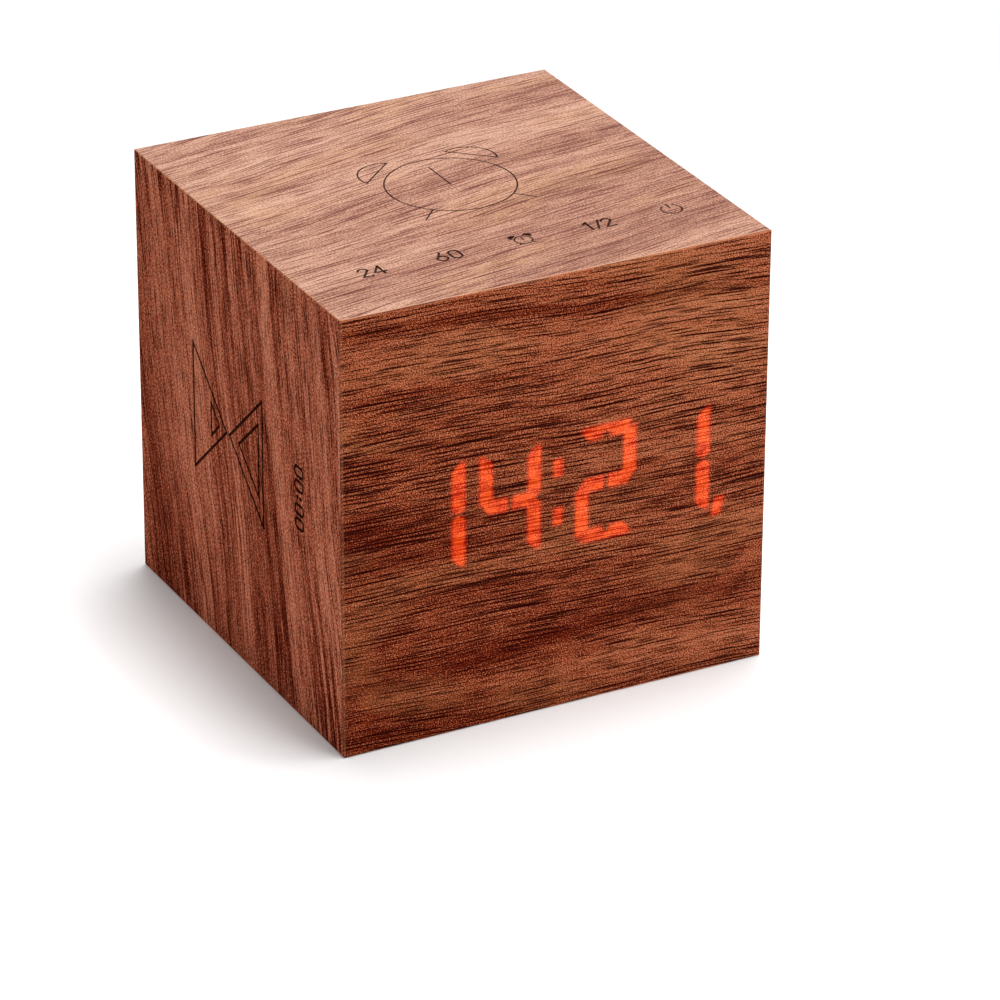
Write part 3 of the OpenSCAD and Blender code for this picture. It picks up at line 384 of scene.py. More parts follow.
# Length along the grain and width across it of what makes up the wood
SWELL = (48.0, 30.0)
BAND = (130.0, 8.0)
LINE = (75.0, 1.9)
VEIN = (90.0, 2.8)
GLEAM = (34.0, 11.0)
# The same for fibres and flecks, in units of a finish's own fineness
FIBRE = (30.0, 1.0)
FLECK = (0.87, 0.67)
# What sets veins and gleams apart from the other noise
VEIN_SHIFT = 17.0
GLEAM_SHIFT = 41.0
# How far each millimetre of depth offsets the grain
SLANT = 0.83
# Length, width and darkness of each layer of pores
PORE_LAYERS = ((1.0, 1.0, 1.0), (0.6, 0.85, 1.0), (0.3, 0.7, 0.8))
# Half a pore's length and width in its cell: the least, what chance adds, and the limit
PORE_HALF_LONG = (0.12, 0.36, 0.48)
PORE_HALF_WIDE = (0.09, 0.12, 0.25)
# How far the growth bands gather the pores, and the limits of that
PORE_BANDS = 0.8
PORE_GAIN = (0.05, 1.35)
# Depths over which an arris fades, a groove begins and ends, and the veneer's edge shows
ARRIS = (0.5, 0.12)
GROOVE_TOP = (0.004, 0.025)
GROOVE_BED = (0.8, 0.5)
LIP = 0.02
# What pores, fibres, burnt grooves and fibreboard add to the roughness
PORE_ROUGH, FIBRE_ROUGH, BURNT_ROUGH, CORE_ROUGH = 0.25, 0.12, 0.5, 0.3
GLEAM_TINT = paint(196, 148, 92)
BURNT_TINT = paint(34, 13, 7)
CORE_TINTS = (paint(128, 92, 60), paint(182, 143, 102))


@dataclass(frozen=True)
class Streak:
    """A dark line of late wood along the grain, in millimetres of the face."""

    across: float
    slope: float
    width: float
    depth: float
    middle: float
    reach: float


@dataclass(frozen=True)
class Patch:
    """A soft area that is darker, or paler where depth is negative."""

    along: float
    across: float
    long: float
    wide: float
    depth: float


@dataclass(frozen=True)
class Lay:
    """How the grain lies at a point: u along it, v0 across the face, v across the grain."""

    xyz: tuple[Field, ...]
    u: Field
    v0: Field
    v: Field
    slow: Field
    broad: Field
    narrow: Field
    fibre: Field
    fleck: Field


@dataclass(frozen=True)
class Walnut(Finish):
    """Oiled walnut veneer: growth bands, fibres, dark pores, burnt grooves, and pale arrises of
    worn wood with painted highlight.
    """

    name: str
    along: Axis
    across: Axis
    through: Axis
    stops: tuple[tuple[float, Colour], ...]
    sense: float = 1.0
    start: float = 0.0
    slope: float = 0.0
    fan: float = 0.0
    seed: float = 0.0
    wander: float = 5.0
    fine: float = 0.3
    broad: float = 0.9
    narrow: float = 0.9
    fibre: float = 1.0
    fleck: float = 1.0
    vein: float = 0.0
    gold: float = 0.0
    pore: float = 1.0
    pore_long: float = 16.0
    pore_wide: float = 0.7
    pore_belt: Optional[tuple[float, float, float]] = None
    pore_tint: Colour = paint(38, 2, 0)
    rough: float = 0.42
    gloss: float = 0.2
    coat: float = 0.0
    coat_rough: float = 0.3
    # Pale arrises: worn wood, with painted highlight where the rounded edges catch the light
    edge: float = 0.25
    edge_tint: Colour = paint(190, 128, 92)
    lip: Optional[Colour] = None
    groove: Optional[tuple[Axis, float]] = None
    veneer: float = 0.0
    streaks: tuple[Streak, ...] = ()
    patches: tuple[Patch, ...] = ()

    def draw(self, graph: Graph) -> None:
        """Fills the graph with the wood alone."""
        lay = self._lay(graph)
        self._wood(graph, lay, self._pores(graph, lay))

    def _drawn(
        self, g: Graph, u: Field, v: Field, cell: tuple[float, float], detail: float = 2.0,
        rough: float = 0.5, shift: float = 0.0,
    ) -> Field:
        """Noise that is drawn out along the grain.

        Args:
            g: the graph.
            u: millimetres along the grain.
            v: millimetres across it.
            cell: length and width of its swells.
            detail: octaves.
            rough: weight of the fine octaves.
            shift: sets it apart from other noise.

        Returns:
            Noise from about -0.5 to 0.5.
        """
        down = v / cell[1]
        spot = g.vector(u / cell[0] + self.seed, down + shift if shift else down)
        return g.noise(spot, detail, rough)

    def _lay(self, g: Graph) -> Lay:
        """Lays out the grain.

        Args:
            g: the graph.

        Returns:
            Its fields.
        """
        xyz = g.place()
        u = self.along.of(xyz) * self.sense + self.start
        v0 = self.across.of(xyz)
        slow = self._drawn(g, u, v0, SWELL, 1.0)
        v = v0 - u * (self.slope + v0 * self.fan) + slow * self.wander
        v = v + self.through.of(xyz) * SLANT
        fibre, fleck = ((self.fine * long, self.fine * wide) for long, wide in (FIBRE, FLECK))
        return Lay(
            xyz, u, v0, v, slow, self._drawn(g, u, v, BAND), self._drawn(g, u, v, LINE),
            self._drawn(g, u, v, fibre, rough=0.65), self._drawn(g, u, v, fleck, 1.0),
        )

    def _tone(self, g: Graph, lay: Lay) -> Field:
        """Works out how pale the wood is, with the painted shade and light of some faces' patches.

        Args:
            g: the graph.
            lay: the grain.

        Returns:
            About 0 in its darkest lines to 1 where it is palest.
        """
        tone = 0.5 + lay.broad * (1.3 * self.broad) + lay.narrow * self.narrow
        tone = tone + lay.fibre * (0.8 * self.fibre) + lay.fleck * (2.0 * self.fleck)
        if self.vein:
            line = self._drawn(g, lay.u, lay.v, VEIN, 1.0, shift=VEIN_SHIFT)
            dark = abs(line).rise(0.06, 0.01) * (0.75 + lay.slow * 2.0)
            tone = tone - dark * (0.34 * self.vein)
        # Patches: the veneer's own tone, and on the front, left and top also painted shade and
        # light
        for patch in self.patches:
            along = (lay.u - patch.along) / patch.long
            across = (lay.v0 - patch.across) / patch.wide
            tone = tone - along.bell(across) * patch.depth
        for streak in self.streaks:
            along = lay.u - streak.middle
            off = lay.v0 - streak.across - along * streak.slope + lay.slow * 3.0 + lay.fibre * 0.8
            line = (off / streak.width).bell() * (along / streak.reach).bell()
            tone = tone - line * (streak.depth * (1.0 + lay.narrow * 1.5))
        return tone

    def _pores(self, g: Graph, lay: Lay) -> Field:
        """Draws the short dark dashes of the open pores, each row with a shift of its own.

        Args:
            g: the graph.
            lay: the grain, whose fibres ruffle the dashes' edges.

        Returns:
            1 in a pore, 0 elsewhere.
        """
        gain = (1.0 - lay.broad * PORE_BANDS) * self.pore
        if self.pore_belt:
            middle, wide, share = self.pore_belt
            belt = ((lay.v0 - middle) / wide).bell()
            gain = gain * (1.0 - share + belt * share * 1.6)
        gain = gain.most(PORE_GAIN[0]).least(PORE_GAIN[1])
        ruffle = lay.v + lay.fibre * 0.12
        total: Optional[Field] = None
        for index, (long, wide, dark) in enumerate(PORE_LAYERS):
            down = ruffle / (wide * self.pore_wide) + self.seed + 3.1 * index
            row = down.math("FLOOR")
            along = lay.u / (long * self.pore_long) + g.chance(row, row + 0.5) * 31.0
            run = along.math("FLOOR")
            own, stray = g.chance(row, run), g.chance(row, run + 0.5)
            half_long, half_wide = (
                ((own * more + least) * gain).least(limit)
                for least, more, limit in (PORE_HALF_LONG, PORE_HALF_WIDE)
            )
            off_u = (along - run - 0.5) / half_long
            off_v = (down - row - 0.5 + (stray - 0.5) * 0.5) / half_wide
            dash = off_u.apart(off_v).rise(1.04, 0.65) * dark
            total = dash if total is None else total.most(dash)
        return total

    def _wood(self, g: Graph, lay: Lay, pores: Field, **glow: Any) -> None:
        """Colours the wood and ends the tree.

        Args:
            g: the graph.
            lay: the grain.
            pores: the mask of the pores.
            glow: further sockets of the shader.
        """
        colour = g.ramp(self._tone(g, lay), self.stops)
        if self.gold:
            warm = self._drawn(g, lay.u, lay.v, GLEAM, 1.0, shift=GLEAM_SHIFT).rise(0.0, 0.2)
            colour = g.mix(warm * self.gold, colour, GLEAM_TINT)
        colour = g.mix(pores, colour, self.pore_tint)
        # Arrises paled: partly worn wood, partly painted highlight
        worn_and_highlit = self._arris(lay.xyz) * self.edge * (0.7 + lay.fibre * 1.2)
        colour = g.mix(worn_and_highlit, colour, self.edge_tint)
        if self.lip:
            cut = Axis.Z.of(lay.xyz).over(SIDE - LIP)
            colour = g.mix(cut * (0.9 + lay.fibre * 0.6), colour, self.lip)
        rough = self.rough + pores * PORE_ROUGH + lay.fibre * FIBRE_ROUGH
        if self.groove:
            burnt = self._engraved(lay.xyz)
            colour = g.mix(burnt * (0.92 + lay.fleck * 0.3), colour, BURNT_TINT)
            rough = rough + burnt * BURNT_ROUGH
        if self.veneer:
            core = self._core(lay.xyz)
            board = g.mix(0.5 + lay.fleck * 1.2 + lay.fibre * 0.4, *CORE_TINTS)
            colour = g.mix(core, colour, board)
            rough = rough + core * CORE_ROUGH
        g.surface(
            Base_Color=colour, Roughness=rough,
            Normal=g.bump(lay.fibre + lay.fleck * 0.3, 0.03, 0.5), Specular_IOR_Level=self.gloss,
            Coat_Weight=self.coat, Coat_Roughness=self.coat_rough, **glow,
        )

    @staticmethod
    def _arris(xyz: Sequence[Field]) -> Field:
        """1 along the arrises of the case, 0 elsewhere."""
        dx, dy, dz = (axis.depth(xyz) for axis in Axis)
        return dx.least(dy).most(dx.most(dy).least(dz)).rise(*ARRIS)

    def _core(self, xyz: Sequence[Field]) -> Field:
        """1 where fibreboard shows behind the veneer, 0 on the veneer and the lipped rear rim."""
        bare = self.through.depth(xyz).rise(self.veneer, self.veneer + 0.1)
        return bare * (HALF - Axis.Y.of(xyz)).over(0.4)

    def _engraved(self, xyz: Sequence[Field]) -> Field:
        """Finds the engraved lines.

        Args:
            xyz: the point's coordinates.

        Returns:
            1 inside them, 0 elsewhere.
        """
        axis, face = self.groove
        deep = abs(axis.of(xyz) - face)
        inside = deep.rise(*GROOVE_TOP) * deep.rise(*GROOVE_BED)
        for other in Axis:
            if other is not axis:
                inside = inside * other.depth(xyz).over(1.0)
        return inside


class Bar(Enum):
    """The seven bars of a digit."""

    TOP = "a"
    UPPER_RIGHT = "b"
    LOWER_RIGHT = "c"
    BOTTOM = "d"
    LOWER_LEFT = "e"
    UPPER_LEFT = "f"
    MIDDLE = "g"


LIT_BARS = {
    "0": "abcdef", "1": "bc", "2": "abged", "3": "abgcd", "4": "fgbc",
    "5": "afgcd", "6": "afgedc", "7": "abc", "8": "abcdefg", "9": "abcdfg",
}


@dataclass(frozen=True)
class GlowingWalnut(Walnut):
    """The front veneer: walnut with the lit bars of the display shining through it."""

    time: str = "1421"
    digit_w: float = 9.6
    digit_h: float = 20.0
    bar_w: float = 2.85
    centres: tuple[float, float] = (9.6, 24.6)
    level: float = 43.0
    soft: float = 0.62
    end_soft: float = 0.95
    end_room: float = 0.25
    pinch: float = 0.85
    dot_w: float = 2.1
    dot_h: float = 3.6
    dot_rise: float = 4.75
    point: tuple[float, float] = (32.6, 33.0)
    point_more: float = 0.05
    point_lean: float = 0.22
    cloud: tuple[float, float] = (3.0, 2.2)
    rim: Colour = (0.54, 0.007, 0.0)
    core: Colour = (0.8, 0.06, 0.005)

    def draw(self, graph: Graph) -> None:
        """Fills the graph with the wood and its glow.

        Args:
            graph: the graph to fill.
        """
        lay = self._lay(graph)
        pores = self._pores(graph, lay)
        x, _, z = lay.xyz
        lit = self._lit(x, z - self.level)
        cloud = graph.noise(graph.vector(x / self.cloud[0], z / self.cloud[1]))
        tint = graph.mix((lit - 0.45 + cloud * 2.2).rise(0.0, 0.85), self.rim, self.core)
        share = lit * (1.0 - pores * 0.3) * (0.97 + cloud * 0.5)
        shine = graph.mix(share, BLACK, tint)
        self._wood(graph, lay, pores, Emission_Color=shine, Emission_Strength=1.0)

    def _lit(self, x: Field, z: Field) -> Field:
        """Draws the lit bars, colon and point.

        Args:
            x: place across the front.
            z: place above the digits' middle.

        Returns:
            1 where the veneer glows, 0 where it doesn't.
        """
        inner, outer = self.centres
        is_outer = abs(x).over((inner + outer) / 2)
        is_right = x.over(0.0)
        local = x - (is_right * 2.0 - 1.0) * (inner + is_outer * (outer - inner))
        is_inner, is_left = 1.0 - is_outer, 1.0 - is_right
        digits = (is_left * is_outer, is_left * is_inner, is_right * is_inner, is_right * is_outer)
        px, pz = self.point[0], self.point[1] - self.level
        lean = (x - px) - (z - pz) * self.point_lean
        colon = self._dot(x, abs(z) - self.dot_rise)
        total = colon.most(self._dot(lean, z - pz, self.point_more))
        for bar, mask in self._bars(local, z).items():
            lit = [here for shown, here in zip(self.time, digits) if bar.value in LIT_BARS[shown]]
            if lit:
                total = total + mask * sum(lit[1:], lit[0])
        return total.least(1.0).math("POWER", 1.25)

    def _bars(self, x: Field, z: Field) -> dict[Bar, Field]:
        """Draws the seven bars of a digit.

        Args:
            x: place across the digit.
            z: place above its middle.

        Returns:
            The soft mask of each.
        """
        ax, az = abs(x), abs(z)
        right, upper = x.over(0.0), z.over(0.0)
        left, lower = 1.0 - right, 1.0 - upper
        cx, cz = self.digit_w / 2, self.digit_h / 2
        half, soft, end, room = self.bar_w / 2, self.soft, self.end_soft, self.end_room
        gap = soft * 0.8
        mitre = (az - cz) - (ax - cx)
        beside, inward = abs(ax - cx), cz - az
        upright = (half - beside).rise(-soft, soft) * mitre.rise(soft, -soft)
        upright = upright * (az - beside * 0.5 - 0.05).rise(-gap, soft)
        upright = upright * (cz + room - az).rise(-end, end)
        level = (half - abs(inward)).rise(-soft, soft) * mitre.rise(-soft, soft)
        level = level * (cx + room - ax).rise(-end, end)
        level = level * (1.0 - (ax / self.pinch).bell() * inward.rise(-0.7, 1.0))
        middle = (half - az).rise(-soft, soft) * (cx + 0.5 - ax - az * 0.7).rise(-soft, soft)
        middle = middle * (ax - room).rise(-gap, soft)
        return {
            Bar.TOP: level * upper, Bar.BOTTOM: level * lower, Bar.MIDDLE: middle,
            Bar.UPPER_RIGHT: upright * right * upper, Bar.LOWER_RIGHT: upright * right * lower,
            Bar.UPPER_LEFT: upright * left * upper, Bar.LOWER_LEFT: upright * left * lower,
        }

    def _dot(self, x: Field, z: Field, more: float = 0.0) -> Field:
        """A soft dot about 0, larger by more to each side."""
        wide, high = self.dot_w / 2 + more - abs(x), self.dot_h / 2 + more - abs(z)
        return wide.rise(-self.soft, self.soft) * high.rise(-self.soft, self.soft)


# ---------------------------------------------------------------- other finishes


@dataclass(frozen=True)
class Moulded(Finish):
    """Moulded plastic with a fine spark-eroded grain."""

    name: str
    tint: Colour
    rough: float = 0.5
    grain: float = 0.12
    shift: float = 0.15

    def draw(self, graph: Graph) -> None:
        """Fills the graph.

        Args:
            graph: the graph to fill.
        """
        xyz = graph.place()
        fine, slow = graph.grain(xyz, 0.22), graph.grain(xyz, 6.0, detail=1.0)
        dark, pale = shade(self.tint, 0.85), shade(self.tint, 1.25, 0.01)
        graph.surface(
            Base_Color=graph.mix(0.5 + slow * 1.4 + fine * 0.6, dark, pale),
            Roughness=self.rough + fine * self.shift + slow * self.shift,
            Normal=graph.bump(fine, self.grain * 0.2, 0.5),
        )


@dataclass(frozen=True)
class Plated(Finish):
    """Plated or turned metal with fine tool lines along y."""

    name: str
    tint: Colour
    rough: float = 0.28
    lines: tuple[float, float, float] = (0.09, 3.0, 0.09)

    def draw(self, graph: Graph) -> None:
        """Fills the graph.

        Args:
            graph: the graph to fill.
        """
        xyz = graph.place()
        line, slow = graph.grain(xyz, *self.lines), graph.grain(xyz, 2.5)
        dark = shade(self.tint, 0.72)
        graph.surface(
            Base_Color=graph.mix(0.6 + slow * 1.2 + line * 0.8, dark, self.tint),
            Roughness=self.rough + line * 0.2 + slow * 0.15,
            Metallic=1.0,
            Normal=graph.bump(line, 0.012, 0.4),
        )


@dataclass(frozen=True)
class SolderMask(Finish):
    """A circuit board: mask over copper tracks, with tinned vias."""

    name: str
    across: tuple[Axis, Axis]
    tint: Colour = paint(18, 92, 52)
    via_tint: Colour = paint(205, 200, 188)
    pitch: float = 0.9
    run: float = 7.0
    bundle: float = 11.0
    via_pitch: float = 4.3
    weave: float = 0.5

    def _tracks(self, graph: Graph, a: Field, b: Field) -> Field:
        """Draws parallel tracks that run along b and break off by chance.

        Args:
            graph: the graph.
            a: place across the tracks.
            b: place along them.

        Returns:
            1 on a track, 0 elsewhere.
        """
        row = (a / self.pitch).math("FLOOR")
        run = (b / self.run + row * 0.37).math("FLOOR")
        off = abs((a / self.pitch).math("FRACT") - 0.5)
        return off.rise(0.24, 0.17) * graph.chance(row, run).over(0.42)

    def draw(self, graph: Graph) -> None:
        """Fills the graph.

        Args:
            graph: the graph to fill.
        """
        xyz = graph.place()
        a, b = (axis.of(xyz) for axis in self.across)
        way = graph.noise(graph.vector(a / self.bundle, b / self.bundle + 3.0), 1.0).over(0.0)
        track = self._tracks(graph, a, b) * way + self._tracks(graph, b, a) * (1.0 - way)
        far, own = graph.cells(graph.vector(a / self.via_pitch + 5.0, b / self.via_pitch))
        via = far.rise(0.1, 0.08) * own.over(0.45)
        weave = graph.noise(graph.vector(a / self.weave, b / self.weave))
        colour = graph.mix(track * 0.75 + weave * 0.15, self.tint, shade(self.tint, 1.9, 0.012))
        graph.surface(
            Base_Color=graph.mix(via, colour, self.via_tint),
            Roughness=0.32 + weave * 0.15 - via * 0.08,
            Metallic=via,
            Normal=graph.bump(track + via * 0.6, 0.03, 0.7),
        )


@dataclass(frozen=True)
class Foam(Finish):
    """Closed-cell foam or adhesive pad."""

    name: str
    tint: Colour
    cell: float = 0.35

    def draw(self, graph: Graph) -> None:
        """Fills the graph.

        Args:
            graph: the graph to fill.
        """
        far, own = graph.cells(graph.vector(*(c / self.cell for c in graph.place())), flat=False)
        graph.surface(
            Base_Color=graph.mix(far * 0.9 + own * 0.2, shade(self.tint, 1.7, 0.01), self.tint),
            Roughness=0.85 + own * 0.1,
            Normal=graph.bump(far, 0.12, 0.8),
        )


@dataclass(frozen=True)
class Foil(Finish):
    """The crinkled foil pouch of the battery cell."""

    name: str
    tint: Colour

    def draw(self, graph: Graph) -> None:
        """Fills the graph.

        Args:
            graph: the graph to fill.
        """
        xyz = graph.place()
        crease = graph.grain(xyz, 5.0, detail=4.0, rough=0.6)
        fine = graph.grain(xyz, 0.5, detail=1.0)
        graph.surface(
            Base_Color=graph.mix(0.5 + crease * 1.5, shade(self.tint, 0.8), self.tint),
            Roughness=0.34 + crease * 0.2 + fine * 0.1,
            Metallic=0.85,
            Normal=graph.bump(crease + fine * 0.1, 0.25, 0.6),
        )


@dataclass(frozen=True)
class FlatCable(Finish):
    """A flat cable: milky film over parallel conductors."""

    name: str
    middle: float
    pitch: float = 1.0
    film: Colour = paint(226, 224, 214)
    wire: Colour = paint(178, 158, 128)

    def draw(self, graph: Graph) -> None:
        """Fills the graph.

        Args:
            graph: the graph to fill.
        """
        xyz = graph.place()
        turn = ((Axis.X.of(xyz) - self.middle) / self.pitch).math("FRACT") - 0.5
        wire = abs(turn).rise(0.34, 0.26)
        fine = graph.grain(xyz, 0.4, 0.4, 1.5)
        graph.surface(
            Base_Color=graph.mix(wire * 0.8 + fine * 0.2, self.film, self.wire),
            Roughness=0.38 + fine * 0.2,
            Normal=graph.bump(wire, 0.05, 0.6),
        )


@dataclass(frozen=True)
class Insulation(Finish):
    """The two leads of a pair: red on one side of the pair's middle, black on the other."""

    name: str
    across: Axis
    middle: float
    black: Colour = paint(28, 27, 28)
    red: Colour = paint(178, 26, 22)

    def draw(self, graph: Graph) -> None:
        """Fills the graph.

        Args:
            graph: the graph to fill.
        """
        xyz = graph.place()
        fine = graph.grain(xyz, 0.3)
        graph.surface(
            Base_Color=graph.mix(self.across.of(xyz).over(self.middle), self.black, self.red),
            Roughness=0.45 + fine * 0.25,
            Normal=graph.bump(fine, 0.02, 0.5),
        )


@dataclass(frozen=True)
class Lens(Finish):
    """The lit resin lenses of the display's diodes."""

    name: str
    deep: Colour = paint(214, 40, 18)
    bright: Colour = paint(255, 82, 40)

    def draw(self, graph: Graph) -> None:
        """Fills the graph.

        Args:
            graph: the graph to fill.
        """
        fine = graph.grain(graph.place(), 0.6, detail=1.0)
        shine = graph.mix(0.5 + fine, self.deep, self.bright)
        graph.surface(
            Base_Color=shine, Roughness=0.2 + fine * 0.1, Emission_Color=shine,
            Emission_Strength=0.8,
        )


# ---------------------------------------------------------------- what repeats


class Facing(Enum):
    """Which way a piece's own +Z points, as the angles that turn it there."""

    UP = (0.0, 0.0, 0.0)
    DOWN = (math.pi, 0.0, 0.0)
    REAR = (-math.pi / 2, 0.0, 0.0)
    FRONT = (math.pi / 2, 0.0, 0.0)
    RIGHT = (0.0, math.pi / 2, 0.0)

    @property
    def way(self) -> tuple[Axis, int]:
        """The axis that it points along, and the sense."""
        return {
            "UP": (Axis.Z, 1), "DOWN": (Axis.Z, -1), "REAR": (Axis.Y, 1), "FRONT": (Axis.Y, -1),
            "RIGHT": (Axis.X, 1),
        }[self.name]


class Maker(Graph):
    """A Geometry Nodes tree with named inputs for its sizes."""

    SHARP = math.radians(35.0)

    def __init__(self, name: str, inputs: dict[str, str]) -> None:
        """Starts the tree.

        Args:
            name: the tree's name.
            inputs: the name of each input and its kind of value.
        """
        super().__init__(bpy.data.node_groups.new(name, "GeometryNodeTree"))
        face = self.tree.interface
        sockets = {"Spots": "Geometry", **inputs, "Facing": "Vector", "Finish": "Material"}
        for label, kind in sockets.items():
            face.new_socket(label, in_out="INPUT", socket_type="NodeSocket" + kind)
        face.new_socket("Made", in_out="OUTPUT", socket_type="NodeSocketGeometry")
        self.given = self.node("NodeGroupInput").outputs

    def take(self, label: str) -> Field:
        """An input as a field."""
        return Field(self, self.given[label])

    def shape(
        self, kind: str, settings: Optional[dict[str, Any]] = None, **sockets: Any
    ) -> Socket:
        """Adds a geometry node, whose socket names use _ for spaces, and gives its first output."""
        return self.node("GeometryNode" + kind, settings, spaced(sockets)).outputs[0]

    def turned(self, angles: Socket) -> Socket:
        """A rotation by three angles."""
        return self.node("FunctionNodeEulerToRotation", None, {0: angles}).outputs[0]

    def follow(self, along: Field, stops: Sequence[tuple[float, Value]]) -> Field:
        """Goes in straight lines from stop to stop.

        Args:
            along: where on the way.
            stops: place on the way, and the value there.

        Returns:
            The value at each place.
        """
        total = along * 0.0 + stops[0][1]
        for (start, low), (end, high) in zip(stops, stops[1:]):
            span = {"Value": along, "From Min": start, "From Max": end}
            part = self.node("ShaderNodeMapRange", None, span)
            total = total + Field(self, part.outputs[0]) * (high - low)
        return total

    def close(self, made: Socket) -> None:
        """Ends the tree: plain mesh, smooth but for its sharp edges, with the finish on it.

        Args:
            made: the shape, which may hold instances.
        """
        whole = self.shape("RealizeInstances", Geometry=made)
        soft = Field(self, self.shape("InputMeshEdgeAngle")).math("LESS_THAN", self.SHARP)
        for domain, smooth in (("FACE", True), ("EDGE", soft)):
            whole = self.shape(
                "SetShadeSmooth", {"domain": domain}, Geometry=whole, Shade_Smooth=smooth
            )
        whole = self.shape("SetMaterial", Geometry=whole, Material=self.given["Finish"])
        self.node("NodeGroupOutput", None, {0: whole})

    def make(
        self, name: str, spots: Sequence[Point], finish: Finish, **sizes: Any
    ) -> bpy.types.Object:
        """Makes a piece.

        Args:
            name: the piece's name.
            spots: where it repeats, in metres.
            finish: its finish.
            sizes: values of the tree's inputs, named with _ for spaces.

        Returns:
            The piece as a plain mesh at the origin.
        """
        seed = bpy.data.meshes.new(name)
        seed.from_pydata(list(spots), [], [])
        piece = add_object(name, seed)
        modifier = piece.modifiers.new("maker", "NODES")
        modifier.node_group = self.tree
        values = spaced(sizes) | {"Finish": finish.material()}
        for item in self.tree.interface.items_tree:
            if item.name in values:
                modifier[item.identifier] = values[item.name]
        view = bpy.context.evaluated_depsgraph_get()
        plain = bpy.data.meshes.new_from_object(piece.evaluated_get(view))
        piece.modifiers.remove(modifier)
        piece.data = plain
        return piece


class ScrewMaker(Maker):
    """Turns cross-head screws with a rolled thread and sets one at each spot, head outwards."""

    def __init__(self, rows: int = 72, sides: int = 24, seed: int = 4) -> None:
        """Builds the tree.

        Args:
            rows: faces along a screw.
            sides: faces round it.
            seed: fixes how far each screw was turned home.
        """
        names = ("Head", "Head Height", "Rim", "Seat", "Shank", "Length", "Pitch", "Thread")
        super().__init__("screw_maker", dict.fromkeys(names, "Float"))
        body = self._body(rows, sides)
        for cutter in self._cross():
            body = self.shape(
                "MeshBoolean", {"operation": "DIFFERENCE", "solver": "EXACT"},
                Mesh_1=body, Mesh_2=cutter,
            )
        home = self.node("FunctionNodeRandomValue", None, {"Seed": seed})
        spin = Field(self, next(s for s in home.outputs if s.enabled)) * 1.5
        by = self.node(
            "FunctionNodeAxisAngleToRotation", None, {"Axis": (0.0, 0.0, 1.0), "Angle": spin}
        )
        aim = self.node(
            "FunctionNodeRotateRotation", {"rotation_space": "LOCAL"},
            {0: self.turned(self.given["Facing"]), 1: by.outputs[0]},
        )
        self.close(self.shape(
            "InstanceOnPoints", Points=self.given["Spots"], Instance=body, Rotation=aim.outputs[0]
        ))

    def _body(self, rows: int, sides: int) -> Socket:
        """Rolls a sheet up to the screw's profile.

        Args:
            rows: faces along a screw.
            sides: faces round it.

        Returns:
            The screw without its recess, its top at the origin.
        """
        names = ("Head", "Head Height", "Rim", "Seat", "Shank", "Length")
        head, high, rim, seat, shank, length = (self.take(name) for name in names)
        sheet = self.shape(
            "MeshGrid", Size_X=1.0, Size_Y=1.0, Vertices_X=sides + 1, Vertices_Y=rows + 1
        )
        turn, along = (part + 0.5 for part in self.split(self.shape("InputPosition"))[:2])
        radius = self.follow(along, (
            (0.0, 0.0), (0.08, head * 0.72), (0.14, head * 0.95), (0.17, head), (0.22, seat),
            (0.25, shank), (0.93, shank), (0.97, shank * 0.6), (1.0, 0.0),
        ))
        deep = self.follow(along, (
            (0.0, 0.0), (0.08, rim * 0.25), (0.14, rim * 0.7), (0.17, rim), (0.22, high),
            (0.25, high), (0.93, length - shank), (0.97, length), (1.0, length),
        ))
        wave = abs((deep / self.take("Pitch") + turn).math("FRACT") * 2.0 - 1.0)
        fade = along.rise(0.26, 0.32) * along.rise(0.95, 0.9)
        radius = radius - wave * fade * self.take("Thread")
        angle = turn * math.tau
        spot = self.vector(radius * angle.math("COSINE"), radius * angle.math("SINE"), -deep)
        body = self.shape("SetPosition", Geometry=sheet, Position=spot)
        body = self.shape("MergeByDistance", Geometry=body, Distance=0.002 * MM)
        return self.shape("FlipFaces", Mesh=body)

    def _cross(self) -> tuple[Socket, Socket]:
        """Makes the two tapered arms that cut the cross recess.

        Returns:
            The arms.
        """
        head, recess = self.take("Head"), self.take("Head Height") * 0.85
        arm = self.shape("MeshCube", Size=self.vector(head * 1.25, head * 0.3, recess * 2.0))
        x, y, z = self.split(self.shape("InputPosition"))
        lean = 1.0 + z / recess * 0.35
        arm = self.shape("SetPosition", Geometry=arm, Position=self.vector(x * lean, y * lean, z))
        return arm, self.shape("Transform", Geometry=arm, Rotation=(0.0, 0.0, math.pi / 2))


